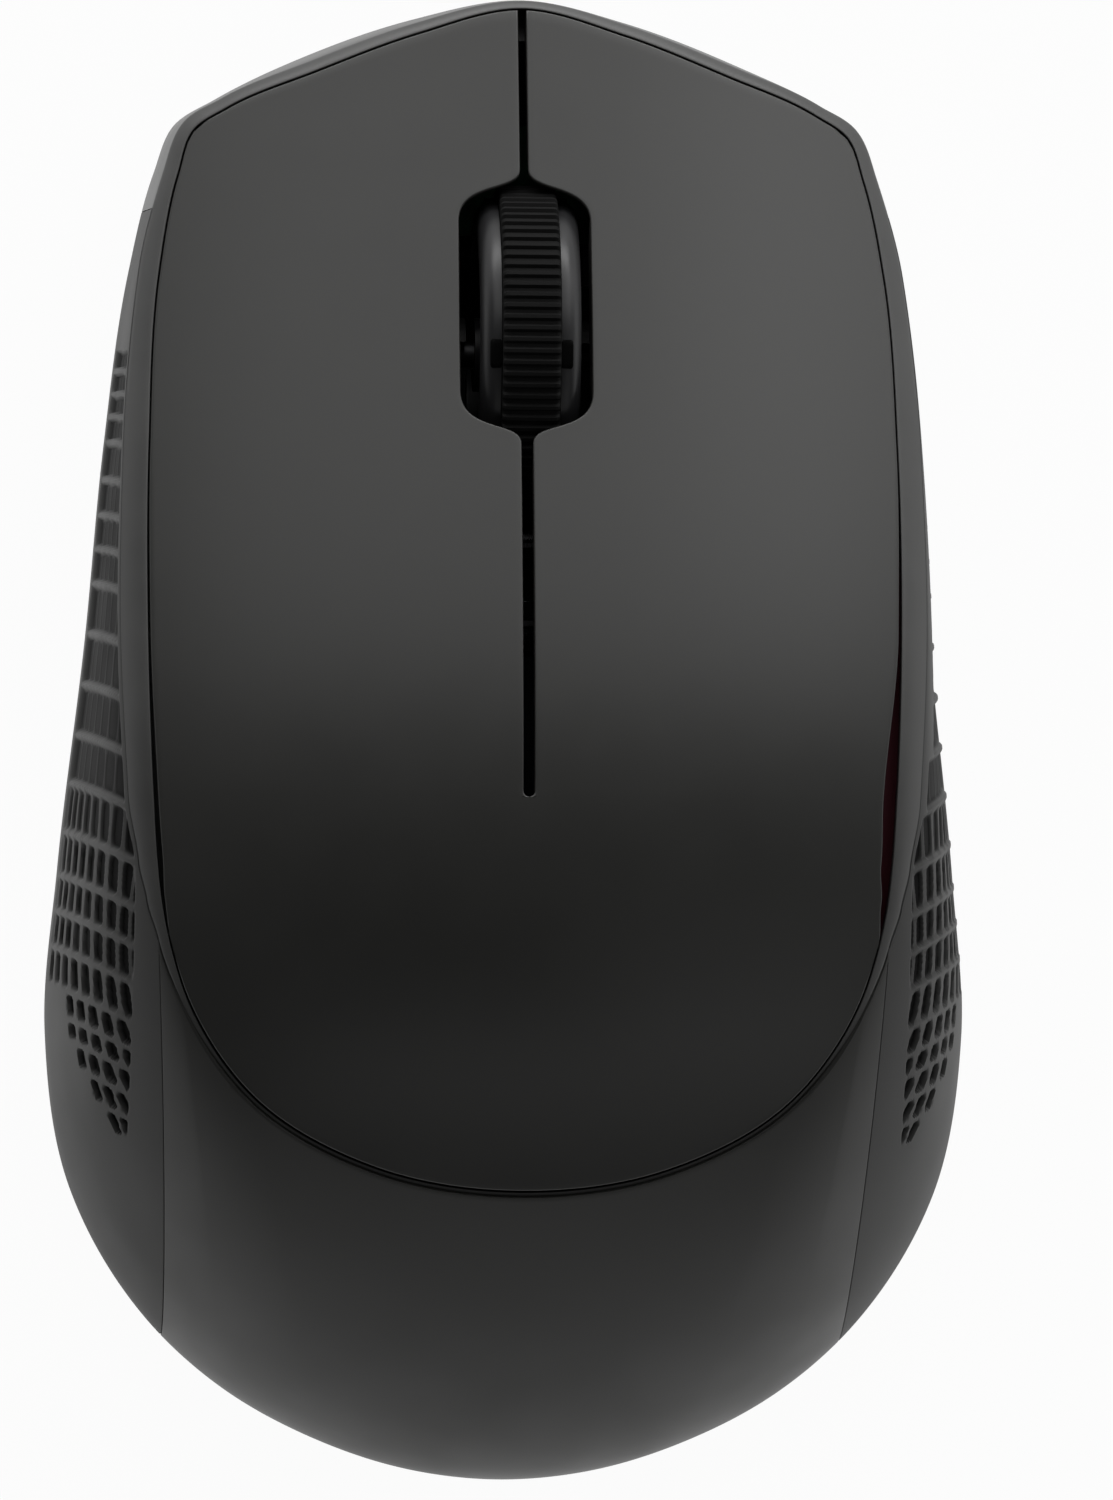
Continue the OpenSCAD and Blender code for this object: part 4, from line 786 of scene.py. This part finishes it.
sheet, u = cover_sheet(GRIP_FRONT_U + SEAM_GAP_U, SEAM_U - SEAM_GAP_U, *GRIP_GRID)
border = whole_border(*GRIP_GRID)
rolls = cover_rolls(u, *GRIP_GRID)[border]
for side, name in ((1, "right_grip"), (-1, "left_grip")):
    cells = grip_cells(sheet, CELL_TOP[side])
    grip = sheet - grid_normals(sheet) * CELL_DEPTH * cells[..., None]
    piece = edged_patch(name + "_skin", grip * (side, 1, 1), FINISH["grip_rubber"], rolls, COVER_WALL,
                        border, flip=side < 0)
    depth = piece.data.attributes.new("cell", "FLOAT", "POINT")
    depth.data.foreach_set("value", np.pad(cells.reshape(-1), (0, len(depth.data) - cells.size)))
    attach(stand_in(piece, "grip_rubber", name), "base")
tail, u = cover_sheet(SEAM_U + SEAM_GAP_U, PLACES - SEAM_U - SEAM_GAP_U, *TAIL_GRID)
border = whole_border(*TAIL_GRID)
piece = edged_patch("tail_skin", tail, FINISH["cover_plastic"], cover_rolls(u, *TAIL_GRID)[border],
                    COVER_WALL, border)
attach(stand_in(piece, "cover_plastic", "rear_cover"), "base")


# Scroll wheel

# Middle of the wheel, pushed over to the right by its play on the axle
WHEEL = np.array([0.3, 27.2, 18.2])
WHEEL_R = 12.0
TYRE_HALF = 2.05
RIM_R = 11.0
RIM_HALF = 3.55
# Rims: their rounded shoulder, the groove's floor and its clearance beside the tyre, and their inside
RIM_SHOULDER = 1.3
GROOVE_R = 10.0
GROOVE_CLEAR = 0.06
RIM_INNER_R = 8.8
# Half the web, the hub and its bore
WEB_HALF = 0.8
HUB_R = 2.6
BORE_R = 1.06
# Tyre: its rounded shoulder, half the flat of the tread, its inside, and the ribs: their number, the
# depth between them, how steep their flanks are, and where below the tread the cut starts and is full
TYRE_SHOULDER = 0.35
TREAD_HALF = 0.7
TYRE_INNER_R = 10.05
TYRE_RIBS = 92
RIB_CUT = 0.22
RIB_FLANK = 0.45
RIB_FROM, RIB_FULL = 0.6, 0.1
# Keys of the tyre in the rims: their number, how far beside the tyre their middle lies, half their
# width and half their turn, how far they stand out, how far their edge falls, and the power and the
# radii of that fall
KEYS = 4
KEY_BESIDE = 0.42
KEY_HALF = 0.5
KEY_TURN = 0.105
KEY_OUT = 0.12
KEY_FALL = 0.6
KEY_POWER = 6
KEY_EDGE = (0.8, 1.05)
# Points round the shoulders of rim and tyre, round the rim, round one rib, and along and across a key
RIM_ROUND, TYRE_ROUND = 9, 6
WHEEL_STEPS = 160
RIB_STEPS = 10
KEY_ALONG, KEY_ACROSS = 15, 11


def turned(profile, angle):
    """Points of a profile of (x, radius) turned round the wheel's axle by angles."""
    x, r = profile[..., 0], profile[..., 1]
    x, r, angle = np.broadcast_arrays(x, r, angle)
    return WHEEL + np.stack([x, r * np.cos(angle), r * np.sin(angle)], axis=-1)


def shoulder(half, radius, roll, n):
    """Quarter round of n points, from the top of a section at a radius out to its half width."""
    a = np.linspace(math.pi / 2, 0, n)
    return np.stack([half - roll * (1 - np.cos(a)), radius - roll * (1 - np.sin(a))], axis=1)


def rim_profile():
    """Closed section of the wheel: hub, web and two rims with rounded shoulders beside the groove."""
    wall = TYRE_HALF + GROOVE_CLEAR
    groove = [(wall, GROOVE_R), (wall, RIM_R)]
    web = [(RIM_HALF, RIM_INNER_R), (WEB_HALF, RIM_INNER_R), (WEB_HALF, HUB_R), (RIM_HALF, HUB_R),
           (RIM_HALF, BORE_R)]
    right = np.concatenate([groove, shoulder(RIM_HALF, RIM_R, RIM_SHOULDER, RIM_ROUND), web])
    return np.concatenate([right[::-1] * (-1, 1), right])


profile = rim_profile()
angle = np.linspace(0, 2 * math.pi, WHEEL_STEPS, endpoint=False)[:, None]
rim = turned(profile, angle)
piece = mesh_piece("wheel_rim_skin", rim, grid_faces(*rim.shape[:2], wrap_rows=True, wrap_cols=True),
                   FINISH["wheel_plastic"])
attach(stand_in(piece, "wheel_plastic", "wheel_hub"), "wheel")


def tyre_surface():
    """Tyre round the wheel: flat tread with rounded shoulders, cut by ribs of a rounded square wave."""
    turn = shoulder(TYRE_HALF, WHEEL_R, TYRE_SHOULDER, TYRE_ROUND)
    right = np.concatenate([[(TREAD_HALF, WHEEL_R)], turn, [(TYRE_HALF, TYRE_INNER_R)]])
    section = np.concatenate([right[::-1] * (-1, 1), right])
    angle = np.linspace(0, 2 * math.pi, TYRE_RIBS * RIB_STEPS, endpoint=False)[:, None]
    wave = smooth(-RIB_FLANK, RIB_FLANK, np.sin(TYRE_RIBS * angle))
    cut = RIB_CUT * wave * smooth(WHEEL_R - RIB_FROM, WHEEL_R - RIB_FULL, section[:, 1])
    radius = section[:, 1] - cut
    x = np.broadcast_to(section[:, 0], radius.shape)
    return turned(np.stack([x, radius], axis=-1), angle)


def key_surface(middle, side):
    """One key of the tyre that lies in the rim: a low pillow, falling off as a superellipse."""
    p, q = np.meshgrid(np.linspace(-1, 1, KEY_ALONG), np.linspace(-1, 1, KEY_ACROSS), indexing="ij")
    edge = (np.abs(p) ** KEY_POWER + np.abs(q) ** KEY_POWER) ** (1 / KEY_POWER)
    x = side * (TYRE_HALF + KEY_BESIDE + KEY_HALF * q)
    height = RIM_R + KEY_OUT - KEY_FALL * smooth(*KEY_EDGE, edge)
    return turned(np.stack([x, height], axis=-1), middle + p * KEY_TURN)


tyre = tyre_surface()
piece = mesh_piece("tyre_skin", tyre, grid_faces(*tyre.shape[:2], wrap_rows=True), FINISH["tyre_rubber"])
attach(stand_in(piece, "tyre_rubber", "wheel_tyre"), "wheel")
points, faces = [], []
for k in range(KEYS):
    for side in (-1, 1):
        key = key_surface(k * 2 * math.pi / KEYS, side)
        quads = grid_faces(*key.shape[:2]) + key[..., 0].size * len(points)
        points.append(key.reshape(-1, 3))
        faces.append(quads if side > 0 else quads[:, ::-1])
piece = mesh_piece("tyre_keys", np.concatenate(points), np.concatenate(faces), SHADED_KEY_RUBBER)
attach(piece, "wheel")


# Spring under the fork, which gives way as the wheel is pressed; this coil keeps one length

# Middle of the coil in plan, its ends, the radii of coil and wire, and its turns
SPRING_AT = (-8.0, 27.5)
SPRING_LOW, SPRING_HIGH = 8.82, 13.38
SPRING_R = 1.5
SPRING_WIRE = 0.2
SPRING_TURNS = 5
# Points round the wire, and along one turn
WIRE_SIDES = 10
TURN_STEPS = 40


def coil_surface():
    """Round wire wound as a helix between the two ends."""
    a = np.linspace(0, 2 * math.pi * SPRING_TURNS, TURN_STEPS * SPRING_TURNS + 1)[:, None]
    b = np.linspace(0, 2 * math.pi, WIRE_SIDES, endpoint=False)
    r = SPRING_R + SPRING_WIRE * np.cos(b)
    rise = (SPRING_HIGH - SPRING_LOW - 2 * SPRING_WIRE) * a / a[-1]
    z = SPRING_LOW + SPRING_WIRE + rise + SPRING_WIRE * np.sin(b)
    return np.stack([SPRING_AT[0] + r * np.cos(a), SPRING_AT[1] + r * np.sin(a), z], axis=-1)


coil = coil_surface()
# Flat caps on both ends of the wire
last = WIRE_SIDES - 1
cap = np.array([(k, k + 1, last - 1 - k, last - k) for k in range(WIRE_SIDES // 2 - 1)])
ends = np.concatenate([cap, cap[:, ::-1] + coil[:-1, :, 0].size])
piece = mesh_piece("fork_coil", coil, np.concatenate([grid_faces(*coil.shape[:2], wrap_cols=True), ends]),
                   FINISH["steel"])
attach(stand_in(piece, "steel", "fork_spring"), "base")
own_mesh(piece)


# Studio

# White floor: its radius in metres, how far it lies under the feet, its sides, how much of it glows when
# seen, its roughness and shine, its two tones and the size of their patches
FLOOR_R = 1.6
FLOOR_BELOW = 0.02
FLOOR_SIDES = 96
FLOOR_GLOW = 0.96
FLOOR_ROUGH, FLOOR_SHINE = 0.9, 0.1
FLOOR_TONES = ((0.86, 0.86, 0.86), (0.9, 0.9, 0.9))
FLOOR_PATCH = 180.0
# Grey of the sky by the height of a direction, and its share from left to right
SKY_HEIGHT = ((0.0, 0.92), (0.12, 0.8), (0.3, 0.25), (0.52, 0.075), (0.8, 0.085), (0.97, 0.035))
SKY_ACROSS = ((0.0, 0.5), (0.35, 0.88), (0.55, 1.0), (0.8, 0.6), (1.0, 1.0))
# How far back and forward the sky brightens towards the front, and from which strength to which
SKY_BACK, SKY_FRONT = -0.5, 0.9
SKY_WEAK, SKY_STRONG = 1.0, 2.6
# Lamps: place, width and height in metres, and radiance
SOFTBOXES = {
    "front softbox": ((0.05, 0.54, 0.426), 0.55, 1.0, 1.15),
    "right softbox": ((0.46, 0.53, 0.35), 0.46, 0.5, 0.9),
    "low front light": ((0, 0.9, 0.16), 0.2, 1.0, 6.0),
    "rear softbox": ((0.15, -0.47, 0.64), 0.3, 1.0, 0.3),
    "right rear softbox": ((0.36, -0.24, 0.67), 0.36, 0.4, 0.2)}
# Point that the lamps face, in metres, and the direction their height runs in
LAMP_TARGET = (0, 0, 0.02)
LAMP_UP = (1, 0, 0.001)


def larger(tree, first, second):
    """The larger of two values."""
    node = tree.nodes.new("ShaderNodeMath")
    node.operation = "MAXIMUM"
    tree.links.new(first, node.inputs[0])
    tree.links.new(second, node.inputs[1])
    return node.outputs[0]


def studio_floor():
    """White disc a hair under the feet; seen directly or in gloss it glows evenly and keeps a soft
    shadow. From below it is clear, so that the underside shows."""
    a = np.linspace(0, 2 * math.pi, FLOOR_SIDES, endpoint=False)
    rim = np.stack([np.cos(a), np.sin(a), 0 * a], axis=1) * FLOOR_R / MM - (0, 0, FLOOR_BELOW)
    material, tree, shader, place = finish_nodes("white floor")
    tone = two_tone(tree, noise(tree, place, FLOOR_PATCH), *FLOOR_TONES)
    tree.links.new(tone, shader.inputs["Base Color"])
    shader.inputs["Roughness"].default_value = FLOOR_ROUGH
    shader.inputs["Specular IOR Level"].default_value = FLOOR_SHINE
    rays = tree.nodes.new("ShaderNodeLightPath")
    seen = larger(tree, rays.outputs["Is Camera Ray"], rays.outputs["Is Glossy Ray"])
    through = larger(tree, seen, rays.outputs["Is Transmission Ray"])
    glow = tree.nodes.new("ShaderNodeEmission")
    mix = tree.nodes.new("ShaderNodeMixShader")
    tree.links.new(mapped(tree, through, 0, 1, 0, FLOOR_GLOW), mix.inputs["Fac"])
    tree.links.new(shader.outputs["BSDF"], mix.inputs[1])
    tree.links.new(glow.outputs["Emission"], mix.inputs[2])
    below = tree.nodes.new("ShaderNodeMixShader")
    tree.links.new(tree.nodes.new("ShaderNodeNewGeometry").outputs["Backfacing"], below.inputs["Fac"])
    tree.links.new(mix.outputs["Shader"], below.inputs[1])
    tree.links.new(tree.nodes.new("ShaderNodeBsdfTransparent").outputs["BSDF"], below.inputs[2])
    tree.links.new(below.outputs["Shader"], tree.nodes["Material Output"].inputs["Surface"])
    faces = [list(range(FLOOR_SIDES))]
    mesh_piece("studio floor", rim, faces, material)


def grey_ramp(tree, value, stops):
    """Grey levels by a value from 0 to 1, eased between stops."""
    ramp = tree.nodes.new("ShaderNodeValToRGB")
    ramp.color_ramp.interpolation = "EASE"
    for place, _ in stops[1:-1]:
        ramp.color_ramp.elements.new(place)
    for element, (place, level) in zip(ramp.color_ramp.elements, stops):
        element.position = place
        element.color = (level, level, level, 1)
    tree.links.new(value, ramp.inputs["Fac"])
    return ramp.outputs["Color"]


def studio_world():
    """Sky of a studio: bright at the horizon and in front, dark overhead, darker on the left and half
    way to the right; plain white where the camera sees it."""
    world = bpy.data.worlds.new("studio")
    bpy.context.scene.world = world
    world.use_nodes = True
    tree = world.node_tree
    way = tree.nodes.new("ShaderNodeTexCoord").outputs["Generated"]
    part = tree.nodes.new("ShaderNodeSeparateXYZ")
    tree.links.new(way, part.inputs[0])
    height = grey_ramp(tree, part.outputs["Z"], SKY_HEIGHT)
    across = grey_ramp(tree, mapped(tree, part.outputs["X"], -1, 1, 0, 1), SKY_ACROSS)
    sky = tree.nodes.new("ShaderNodeVectorMath")
    sky.operation = "MULTIPLY"
    tree.links.new(height, sky.inputs[0])
    tree.links.new(across, sky.inputs[1])
    front = tree.nodes.new("ShaderNodeVectorMath")
    front.operation = "SCALE"
    tree.links.new(sky.outputs["Vector"], front.inputs[0])
    strength = mapped(tree, part.outputs["Y"], SKY_BACK, SKY_FRONT, SKY_WEAK, SKY_STRONG)
    tree.links.new(strength, front.inputs["Scale"])
    rays = tree.nodes.new("ShaderNodeLightPath")
    mix = tree.nodes.new("ShaderNodeMix")
    mix.data_type = "RGBA"
    mix.inputs["B"].default_value = (1, 1, 1, 1)
    tree.links.new(rays.outputs["Is Camera Ray"], mix.inputs["Factor"])
    tree.links.new(front.outputs["Vector"], mix.inputs["A"])
    tree.links.new(mix.outputs["Result"], tree.nodes["Background"].inputs["Color"])


def aimed(place, target, up):
    """Matrix of a lamp or camera at a place, looking at a target with a direction upwards."""
    back = (place - target).normalized()
    right = Vector(up).cross(back).normalized()
    return Matrix((right, back.cross(right), back)).transposed().to_4x4()


def softbox(name, place, width, height, radiance):
    """Rectangular lamp of an even radiance, facing the object."""
    lamp = bpy.data.lights.new(name, "AREA")
    lamp.shape = "RECTANGLE"
    lamp.size, lamp.size_y = width, height
    lamp.energy = radiance * math.pi * width * height
    box = bpy.data.objects.new(name, lamp)
    place = Vector(place)
    box.matrix_world = Matrix.Translation(place) @ aimed(place, Vector(LAMP_TARGET), LAMP_UP)
    box.visible_camera = False
    bpy.context.collection.objects.link(box)


studio_floor()
studio_world()
for name, (place, width, height, radiance) in SOFTBOXES.items():
    softbox(name, place, width, height, radiance)

# Camera: straight above with a long lens, leaning a little to the left and turned a little. The size of
# a pixel and the picture's height in pixels give the lens. How far off it stands, and how far it sees,
# are metres
PIXEL = 0.07104 * MM
PICTURE_H = 1500
VIEW_FROM = 2.2
VIEW_END = 20
VIEW_AT = (3.6, -0.64, WIDEST_Z)
VIEW_LEAN = math.radians(3.25)
VIEW_TURN = math.radians(0.65)
camera = bpy.data.cameras.new("camera")
camera.lens = camera.sensor_width * VIEW_FROM / (PICTURE_H * PIXEL)
camera.clip_end = VIEW_END
view = bpy.data.objects.new("camera", camera)
target = Vector(VIEW_AT) * MM
place = target + VIEW_FROM * Vector((-math.sin(VIEW_LEAN), 0, math.cos(VIEW_LEAN)))
upright = (-math.sin(VIEW_TURN), math.cos(VIEW_TURN), 0)
view.matrix_world = Matrix.Translation(place) @ aimed(place, target, upright)
bpy.context.collection.objects.link(view)
bpy.context.scene.camera = view
bpy.context.scene.view_settings.view_transform = "Standard"
